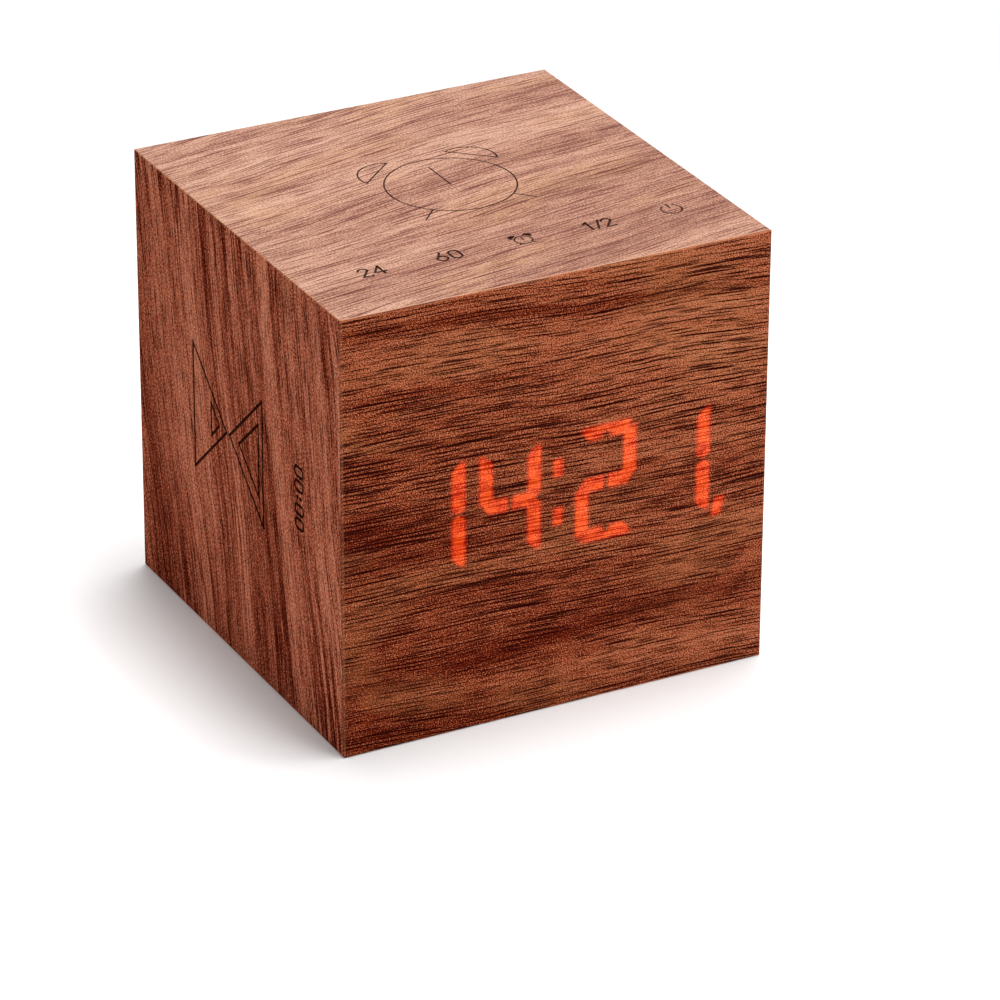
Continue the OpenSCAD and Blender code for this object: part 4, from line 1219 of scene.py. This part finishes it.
class StripMaker(Maker):
    """Bends metal strips along a path and repeats them in rows about a middle."""

    POINTS = tuple(f"Point {i}" for i in range(1, 5))

    def __init__(self) -> None:
        """Builds the tree."""
        inputs = {"Count": "Int", "Sides": "Int"}
        inputs |= dict.fromkeys(("Pitch", "Width", "Thick", "Bend"), "Float")
        super().__init__("strip_maker", inputs | dict.fromkeys(self.POINTS, "Vector"))
        pitch, count = self.take("Pitch"), self.take("Count")
        row = self.shape(
            "MeshLine", Count=count, Offset=self.vector(pitch, 0.0),
            Start_Location=self.vector(pitch * (count - 1.0) * -0.5, 0.0),
        )
        row = self.shape("InstanceOnPoints", Points=row, Instance=self._strip())
        ring = self.shape("MeshLine", Count=self.given["Sides"], Offset=(0.0, 0.0, 0.0))
        index = Field(self, self.shape("InputIndex"))
        turn = self.turned(self.vector(0.0, 0.0, index * math.tau / self.take("Sides")))
        ring = self.shape("InstanceOnPoints", Points=ring, Instance=row, Rotation=turn)
        aim = self.turned(self.given["Facing"])
        self.close(self.shape(
            "InstanceOnPoints", Points=self.given["Spots"], Instance=ring, Rotation=aim
        ))

    def _strip(self) -> Socket:
        """Bends one strip along the four points.

        Returns:
            The strip.
        """
        pick = self.node("GeometryNodeIndexSwitch", {"data_type": "VECTOR"})
        while len(pick.index_switch_items) < len(self.POINTS):
            pick.index_switch_items.new()
        self._feed(pick.inputs["Index"], self.shape("InputIndex"))
        for index, label in enumerate(self.POINTS):
            self._feed(pick.inputs[str(index)], self.given[label])
        line = self.shape("MeshLine", Count=len(self.POINTS))
        line = self.shape("SetPosition", Geometry=line, Position=pick.outputs[0])
        route = self.shape(
            "FilletCurve", {"mode": "POLY"}, Curve=self.shape("MeshToCurve", Mesh=line),
            Radius=self.given["Bend"], Count=3,
        )
        section = self.shape(
            "CurvePrimitiveQuadrilateral", Width=self.given["Thick"], Height=self.given["Width"]
        )
        return self.shape("CurveToMesh", Curve=route, Profile_Curve=section, Fill_Caps=True)


def lumps(node: str) -> list[tuple[Vector, Vector]]:
    """Finds the separate solids of a CAD piece.

    Args:
        node: name of the piece.

    Returns:
        Lowest and highest corner of each solid.
    """
    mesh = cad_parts[node].data
    keys = [tuple(round(c, 6) for c in v.co) for v in mesh.vertices]
    root = {key: key for key in keys}

    def top(key: Point) -> Point:
        """Follows a point to the one that stands for its solid.

        Args:
            key: the point.

        Returns:
            The other point.
        """
        while root[key] != key:
            root[key] = root[root[key]]
            key = root[key]
        return key

    for face in mesh.polygons:
        first = top(keys[face.vertices[0]])
        for index in face.vertices[1:]:
            root[top(keys[index])] = first
    groups: dict[Point, list[Point]] = {}
    for key in root:
        groups.setdefault(top(key), []).append(key)
    return [
        (Vector(map(min, zip(*group))), Vector(map(max, zip(*group))))
        for _, group in sorted(groups.items())
    ]


def fit(piece: bpy.types.Object, slot: str, *stands_for: str) -> None:
    """Fixes a new piece in the case.

    Args:
        piece: the piece.
        slot: not used.
        stands_for: the CAD pieces that it replaces.
    """
    if stands_for:
        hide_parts(*stands_for)
    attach(piece, "case")
    LOG.info("%s: %d faces", piece.name, len(piece.data.polygons))


@dataclass(frozen=True)
class Screws:
    """The screws of one CAD piece."""

    node: str
    facing: Facing
    shank: float = 1.0
    head_high: float = 1.3
    pitch: float = 0.6
    thread: float = 0.22
    sunk: bool = False

    def build(self, maker: ScrewMaker, finish: Finish, slot: str) -> None:
        """Turns the screws and sets them where the CAD ones are.

        Args:
            maker: the tree that turns them.
            finish: their finish.
            slot: a name for their finish, passed on to fit.
        """
        axis, sense = self.facing.way
        spots = []
        for low, high in lumps(self.node):
            spot = (low + high) / 2
            spot[axis.value] = axis.of(high if sense > 0 else low)
            spots.append(spot[:])
            size = high - low
        head = max(c for a, c in zip(Axis, size) if a is not axis) / 2
        tall, shank = self.head_high * MM, self.shank * MM
        piece = maker.make(
            self.node + "_turned", spots, finish, Facing=self.facing.value, Head=head,
            Head_Height=tall, Rim=tall * (0.06 if self.sunk else 0.45),
            Seat=shank if self.sunk else head, Shank=shank, Length=axis.of(size),
            Pitch=self.pitch * MM, Thread=self.thread * MM,
        )
        fit(piece, slot, self.node)


@dataclass(frozen=True)
class ChipLegs:
    """The tinned legs of one chip, bent down to their board."""

    node: str
    facing: Facing
    body_w: float
    count: int
    pitch: float
    sides: int = 2
    reach: float = 0.92
    rise: float = 0.75
    foot: float = 0.46
    wide: float = 0.42
    thick: float = 0.12
    bend: float = 0.1

    def build(self, maker: StripMaker, finish: Finish) -> None:
        """Bends the legs over the CAD chip's own.

        Args:
            maker: the tree that bends them.
            finish: their finish.
        """
        low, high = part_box(self.node)
        spot = (Vector(low) + Vector(high)) / 2
        axis, sense = self.facing.way
        spot[axis.value] = axis.of(low if sense > 0 else high)
        edge = self.body_w / 2
        path = (
            (edge - 0.3, self.rise), (edge + 0.35, self.rise), (edge + 0.5, self.foot),
            (edge + self.reach, self.foot),
        )
        points = {f"Point_{i}": (0.0, y * MM, z * MM) for i, (y, z) in enumerate(path, 1)}
        piece = maker.make(
            self.node + "_legs", [spot[:]], finish, Facing=self.facing.value, Count=self.count,
            Pitch=self.pitch * MM, Sides=self.sides, Width=self.wide * MM, Thick=self.thick * MM,
            Bend=self.bend * MM, **points,
        )
        fit(piece, "steel")


@dataclass(frozen=True)
class TongueContacts:
    """The gilt contacts on both faces of the charging socket's tongue."""

    count: int = 12
    pitch: float = 0.5
    long: float = 3.4
    wide: float = 0.28
    thick: float = 0.06
    inset: float = 0.35
    stops: tuple[float, ...] = (0.0, 0.35, 0.7, 1.0)

    def build(self, maker: StripMaker, finish: Finish) -> None:
        """Lays the contacts on the tongue.

        Args:
            maker: the tree that lays them.
            finish: their finish.
        """
        low, high = (Vector(c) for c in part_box("charging_tongue"))
        spot = (low + high) / 2
        spot.y = high.y - (self.inset + self.long) * MM
        face = (high.z - low.z) / 2
        path = enumerate(self.stops, 1)
        points = {f"Point_{i}": (0.0, face, self.long * MM * share) for i, share in path}
        piece = maker.make(
            "charging_contacts", [spot[:]], finish, Facing=Facing.REAR.value, Count=self.count,
            Pitch=self.pitch * MM, Sides=2, Width=self.wide * MM, Thick=self.thick * MM, Bend=0.0,
            **points,
        )
        fit(piece, "brass")


# ---------------------------------------------------------------- the clock


# Colours of the wood from its darkest lines to its palest
FRONT_STOPS = (
    (0.0, paint(60, 3, 0)), (0.3, paint(112, 35, 8)), (0.5, paint(148, 69, 39)),
    (0.72, paint(169, 93, 60)), (1.0, paint(198, 128, 92)),
)
SIDE_STOPS = (
    (0.0, paint(65, 13, 3)), (0.3, paint(112, 46, 28)), (0.5, paint(147, 74, 51)),
    (0.72, paint(170, 97, 72)), (1.0, paint(200, 131, 104)),
)
# The top is the sides' sheet of veneer, coloured paler and greyer: painted sheen of the overhead
# light
TOP_SHEEN_STOPS = (
    (0.0, paint(102, 48, 27)), (0.3, paint(140, 88, 63)), (0.5, paint(159, 110, 85)),
    (0.72, paint(171, 125, 101)), (1.0, paint(186, 146, 122)),
)
PINE_STOPS = (
    (0.0, paint(168, 122, 74)), (0.5, paint(206, 168, 118)), (1.0, paint(228, 198, 152)),
)
STEEL = Plated("steel", paint(196, 196, 194))


def dress(nodes: str, finish: Finish) -> None:
    """Gives CAD pieces their finish.

    Args:
        nodes: names of the pieces, with spaces between.
        finish: the finish that they take.
    """
    made = finish.material()
    for name in nodes.split():
        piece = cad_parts[name]
        piece.data.materials.clear()
        piece.data.materials.append(made)
        LOG.info("%s: %s", name, made.name)


@dataclass
class Case:
    """The wrap of four boards, the front veneer, the rear panel and its fixings."""

    veneer: float = 0.6
    rear_veneer: float = 0.9
    screws: Screws = Screws("rear_panel_screws", Facing.REAR, 1.4, 1.6, 1.25, 0.36, True)
    bronze: Plated = Plated("screw_bronze", paint(150, 118, 82), 0.34)

    def dress(self) -> None:
        """Veneers the boards and finishes the rear."""
        dress("front_veneer", self._front())
        for finish in self._wrap():
            dress(finish.name.replace("walnut_", "") + "_board", finish)
        dress("rear_panel", Walnut(
            "walnut_rear", Axis.X, Axis.Z, Axis.Y, FRONT_STOPS, slope=0.05, seed=57.3, broad=0.6,
            pore=0.9, vein=0.4, veneer=self.rear_veneer,
        ))
        blocks = [f"corner_block_{v}_{h}" for v in ("upper", "lower") for h in ("left", "right")]
        dress(" ".join(blocks), Walnut(
            "block_wood", Axis.Y, Axis.Z, Axis.X, PINE_STOPS, seed=63.0, pore=0.3, pore_long=1.4,
            pore_tint=paint(150, 104, 62), rough=0.7, edge=0.0,
        ))

    @staticmethod
    def _front() -> GlowingWalnut:
        """The veneer that the display shines through."""
        return GlowingWalnut(
            "walnut_front", Axis.X, Axis.Z, Axis.Y, FRONT_STOPS, slope=-0.03, seed=3.7, wander=2.5,
            broad=0.25, narrow=0.3, fleck=1.25, vein=0.15, gold=0.07, gloss=0.02, pore=1.1,
            pore_long=22.0, pore_wide=0.87, pore_belt=(46.0, 26.0, 0.2), lip=paint(178, 138, 115),
            streaks=(
                Streak(78.5, -0.075, 1.1, 0.3, 0.0, 60.0),
                Streak(68.0, -0.05, 0.9, 0.2, -25.0, 25.0),
                Streak(37.0, -0.02, 1.4, 0.2, -25.0, 25.0),
                Streak(14.5, 0.06, 1.5, 0.28, 5.0, 40.0),
            ),
            # These patches make the front darker toward the lower left and paler toward the right:
            # partly the veneer's tone, partly painted shade and light, as the light falls from the
            # right
            patches=(
                Patch(-40.0, 42.0, 14.0, 6.0, 0.22), Patch(10.0, 17.0, 40.0, 5.0, 0.12),
                Patch(20.0, 6.0, 25.0, 6.0, -0.1), Patch(25.0, 66.0, 26.0, 9.0, -0.1),
                Patch(-45.0, 5.0, 50.0, 45.0, 0.25), Patch(45.0, 80.0, 40.0, 30.0, -0.1),
            ),
        )

    def _wrap(self) -> tuple[Walnut, ...]:
        """Veneers the four boards with one sheet that is folded round them.

        Returns:
            The finishes of the top, left, right and bottom.
        """
        bottom = Walnut(
            "walnut_bottom", Axis.X, Axis.Y, Axis.Z, SIDE_STOPS, sense=-1.0, start=2 * SIDE,
            slope=0.17, seed=11.3, fine=0.48, fleck=0.8, vein=1.0, pore=0.8, pore_long=15.0,
            pore_wide=1.1, veneer=self.veneer,
        )
        right = replace(
            bottom, name="walnut_right", along=Axis.Z, through=Axis.X, start=SIDE + HALF
        )
        left = replace(
            right, name="walnut_left", sense=1.0, start=-SIDE - HALF, slope=0.21, fan=0.001,
            broad=0.66, narrow=0.5, fibre=0.78, vein=1.25, pore=0.76, gloss=0.0,
            groove=(Axis.X, -HALF),
            # These patches make the left side darker at its foot and paler higher up: partly the
            # veneer's tone, partly painted shade at the foot, where less light bounces from the
            # floor
            patches=(
                Patch(-122.0, 8.0, 24.0, 45.0, 0.08), Patch(-80.0, -8.0, 60.0, 20.0, -0.09),
                Patch(-55.0, 38.0, 45.0, 12.0, -0.06), Patch(-52.0, -18.0, 24.0, 28.0, -0.1),
                Patch(-115.0, -30.0, 22.0, 16.0, -0.12),
            ),
        )
        top = replace(
            bottom, name="walnut_top", stops=TOP_SHEEN_STOPS, sense=1.0, start=0.0, broad=0.7,
            narrow=0.5, fibre=0.8, fleck=0.84, vein=0.5, gold=0.14, pore=0.81, pore_long=26.0,
            pore_wide=1.02, pore_tint=paint(82, 15, 0), gloss=0.18, coat=0.04,
            edge_tint=paint(222, 172, 130), groove=(Axis.Z, SIDE),
            # These patches make the top paler toward the left and back and darker toward the front
            # right: painted sheen of the light behind, with the veneer's tone
            patches=(
                Patch(-40.0, 10.0, 34.0, 60.0, -0.09), Patch(5.0, 48.0, 80.0, 22.0, -0.08),
                Patch(30.0, -12.0, 36.0, 30.0, 0.1),
            ),
        )
        return top, left, right, bottom

    def build(self, screws: ScrewMaker) -> None:
        """Turns the screws of the rear panel."""
        self.screws.build(screws, self.bronze, "screw_bronze")


@dataclass
class Works:
    """Everything inside the case, and the ports at its rear."""

    screws: tuple[Screws, ...] = (
        Screws("port_plate_screws", Facing.FRONT), Screws("display_board_screws", Facing.REAR),
        Screws("main_board_screws", Facing.UP), Screws("battery_tray_screws", Facing.RIGHT),
        Screws("sounder_screws", Facing.FRONT),
    )
    legs: tuple[ChipLegs, ...] = (
        ChipLegs("display_driver", Facing.REAR, 7.0, 10, 1.2),
        ChipLegs("touch_chip", Facing.DOWN, 4.0, 5, 1.1),
        ChipLegs("controller_chip", Facing.UP, 10.0, 12, 10.0 / 12, 4),
        ChipLegs("charger_chip", Facing.UP, 4.0, 4, 1.375),
    )
    contacts: TongueContacts = TongueContacts()
    tinned: Plated = Plated("tinned", paint(206, 206, 200), 0.32)
    gilt: Plated = Plated("gilt", paint(226, 184, 104), 0.25)
    finishes: tuple[tuple[Finish, str], ...] = (
        (Moulded("black_plastic", paint(30, 30, 31)),
         "segment_plate port_plate battery_tray sounder_case tilt_sensor_case tilt_sensor_lid"),
        (Moulded("white_plastic", paint(228, 226, 214), 0.42),
         "display_socket main_board_pillars main_display_socket main_touch_socket battery_header "
         "battery_plug sounder_header sounder_plug touch_socket"),
        (Moulded("chip_black", paint(24, 24, 26), 0.55, 0.06),
         "display_driver controller_chip charger_chip charging_tongue touch_chip"),
        (STEEL, "clock_crystal charging_socket slide_switch_body reset_switch_body tilt_ball"),
        (Moulded("switch_grey", paint(148, 149, 150), 0.45), "power_slider reset_button"),
        (Moulded("diffuser", paint(238, 238, 234), 0.6, 0.05, 0.05), "diffuser_film"),
        (Lens("led_red"), "display_leds"),
        (SolderMask("board_green_upright", (Axis.X, Axis.Z)), "display_board"),
        (SolderMask("board_green", (Axis.X, Axis.Y)), "main_board touch_board"),
        (FlatCable("ribbon_display", -5.5), "display_ribbon"),
        (FlatCable("ribbon_touch", 14.0), "touch_ribbon"),
        (Moulded("ceramic_part", paint(186, 158, 122), 0.4, 0.05), "chip_capacitors"),
        (Foil("cell_wrap", paint(176, 184, 196)), "battery_cell"),
        (Foam("foam", paint(58, 57, 58)), "battery_pad sounder_gasket"),
        (Insulation("battery_lead", Axis.Y, -11.6), "battery_leads"),
        (Insulation("sounder_lead", Axis.X, 8.0), "sounder_leads"),
        (Plated("brass", paint(214, 178, 96), 0.3), "sounder_disc"),
        (Plated("copper_pad", paint(214, 150, 110), 0.35), "touch_pads"),
    )

    def dress(self) -> None:
        """Finishes the works."""
        for finish, nodes in self.finishes:
            dress(nodes, finish)

    def build(self, screws: ScrewMaker) -> None:
        """Makes the small screws, the chips' legs and the charging contacts.

        Args:
            screws: the tree that turns the screws.
        """
        strips = StripMaker()
        for one in self.screws:
            one.build(screws, STEEL, "steel")
        for chip in self.legs:
            chip.build(strips, self.tinned)
        self.contacts.build(strips, self.gilt)


# ---------------------------------------------------------------- the studio


@dataclass(frozen=True)
class SoftBox:
    """A soft lamp that looks at a point of the clock."""

    name: str
    place: Point
    aim: Point
    size: tuple[float, float]
    power: float

    def hang(self) -> None:
        """Makes the lamp."""
        lamp = bpy.data.lights.new(self.name, "AREA")
        lamp.shape = "RECTANGLE"
        lamp.size, lamp.size_y = self.size
        lamp.energy = self.power
        made = add_object(self.name, lamp)
        made.location = self.place
        turn = Vector(self.aim) - Vector(self.place)
        made.rotation_euler = turn.to_track_quat("-Z", "Y").to_euler()


@dataclass
class Studio:
    """Camera, lamps, white surroundings and the floor.

    The camera's offset is in sides of the clock, along its own axes; the floor's fade is in
    millimetres from the clock's middle.
    """

    focal_px: float = 5511.4
    image_px: float = 1000.0
    sensor: float = 36.0
    azimuth: float = -27.92
    elevation: float = 26.47
    roll: float = 0.30
    offset: Point = (0.1147, 0.2384, 12.0673)
    sight: float = 50.0
    ambient: float = 0.46
    floor: float = 0.97
    floor_reach: float = 4.0
    floor_fade: tuple[float, float] = (90.0, 320.0)
    boxes: tuple[SoftBox, ...] = (
        SoftBox("overhead_box", (0.1, 0.016, 0.78), (0.0, 0.0, 0.05), (0.5, 0.28), 6.4),
        SoftBox("front_box", (0.45, -1.05, 0.6), (0.0, 0.0, 0.045), (0.6, 0.6), 3.6),
        SoftBox("left_box", (-1.0, -0.25, 0.14), (0.0, 0.0, 0.045), (0.5, 0.2), 1.0),
        SoftBox("back_box", (0.45, 0.85, 0.52), (0.0, 0.0, 0.085), (0.7, 0.4), 0.8),
    )

    def build(self) -> None:
        """Sets up the whole studio."""
        self._camera()
        self._world()
        self._floor()
        for box in self.boxes:
            box.hang()
        bpy.context.scene.view_settings.view_transform = "Standard"

    def _camera(self) -> None:
        """Places the camera as the photograph has it."""
        az, el, roll = (math.radians(a) for a in (self.azimuth, self.elevation, self.roll))
        back = Vector((math.sin(az) * math.cos(el), -math.cos(az) * math.cos(el), math.sin(el)))
        right = Vector((0, 0, 1)).cross(back).normalized()
        up = back.cross(right)
        across = math.cos(roll) * right + math.sin(roll) * up
        along = -math.sin(roll) * right + math.cos(roll) * up
        x, y, z = self.offset
        place = SIDE * MM * (x * across + y * along + z * back)
        lens = bpy.data.cameras.new("photo_camera")
        lens.sensor_fit = "HORIZONTAL"
        lens.sensor_width = self.sensor
        lens.lens = self.focal_px / self.image_px * lens.sensor_width
        lens.clip_end = self.sight
        eye = add_object("photo_camera", lens)
        turn = Matrix((across, along, back)).transposed().to_4x4()
        eye.matrix_world = Matrix.Translation(place) @ turn
        bpy.context.scene.camera = eye

    def _world(self) -> None:
        """Surrounds the clock with soft white, pure white where it is seen or mirrored."""
        world = bpy.data.worlds.new("white_room")
        world.use_nodes = True
        bpy.context.scene.world = world
        g = Graph(world.node_tree)
        path = g.node("ShaderNodeLightPath").outputs
        rays = ("Is Camera Ray", "Is Glossy Ray", "Is Transmission Ray")
        camera, glossy, through = (Field(g, path[ray]) for ray in rays)
        seen = camera.most(glossy).most(through)
        strength = seen * (1.0 - self.ambient) + self.ambient
        back = g.node("ShaderNodeBackground", None, {"Color": WHITE, "Strength": strength})
        g.node("ShaderNodeOutputWorld", None, {"Surface": back.outputs[0]})

    def _floor(self) -> None:
        """Lays a pale floor that keeps the shadow and turns to white away from the clock."""
        reach = self.floor_reach
        mesh = bpy.data.meshes.new("floor")
        corners = [(-reach, -reach, 0), (reach, -reach, 0), (reach, reach, 0), (-reach, reach, 0)]
        mesh.from_pydata(corners, [], [(0, 1, 2, 3)])
        floor = add_object("floor", mesh)
        made = bpy.data.materials.new("pale_floor")
        made.use_nodes = True
        g = Graph(made.node_tree)
        x, y, _ = g.place()
        far = x.apart(y).rise(*self.floor_fade)
        plain = g.node("ShaderNodeBsdfDiffuse", None, {"Color": (self.floor,) * 3}).outputs[0]
        white = g.node("ShaderNodeEmission", None, {"Color": WHITE, "Strength": 1.0}).outputs[0]
        both = g.node("ShaderNodeMixShader", None, {0: far, 1: plain, 2: white}).outputs[0]
        g.node("ShaderNodeOutputMaterial", None, {"Surface": both})
        mesh.materials.append(made)


def write_sizes() -> None:
    """Holds a helper that turns a box of vectors to lists; it writes nothing."""
    def plain(box: Any) -> list[list[float]]:
        """Turns a box of vectors to lists."""
        return [[float(c) for c in corner] for corner in box]


def main() -> None:
    """Builds the studio and dresses the clock."""
    logging.basicConfig(level=logging.INFO, format="%(name)s %(message)s")
    Studio().build()
    screws = ScrewMaker()
    for part in (Case(), Works()):
        part.dress()
        part.build(screws)
    write_sizes()


if __name__ == "__main__":
    main()
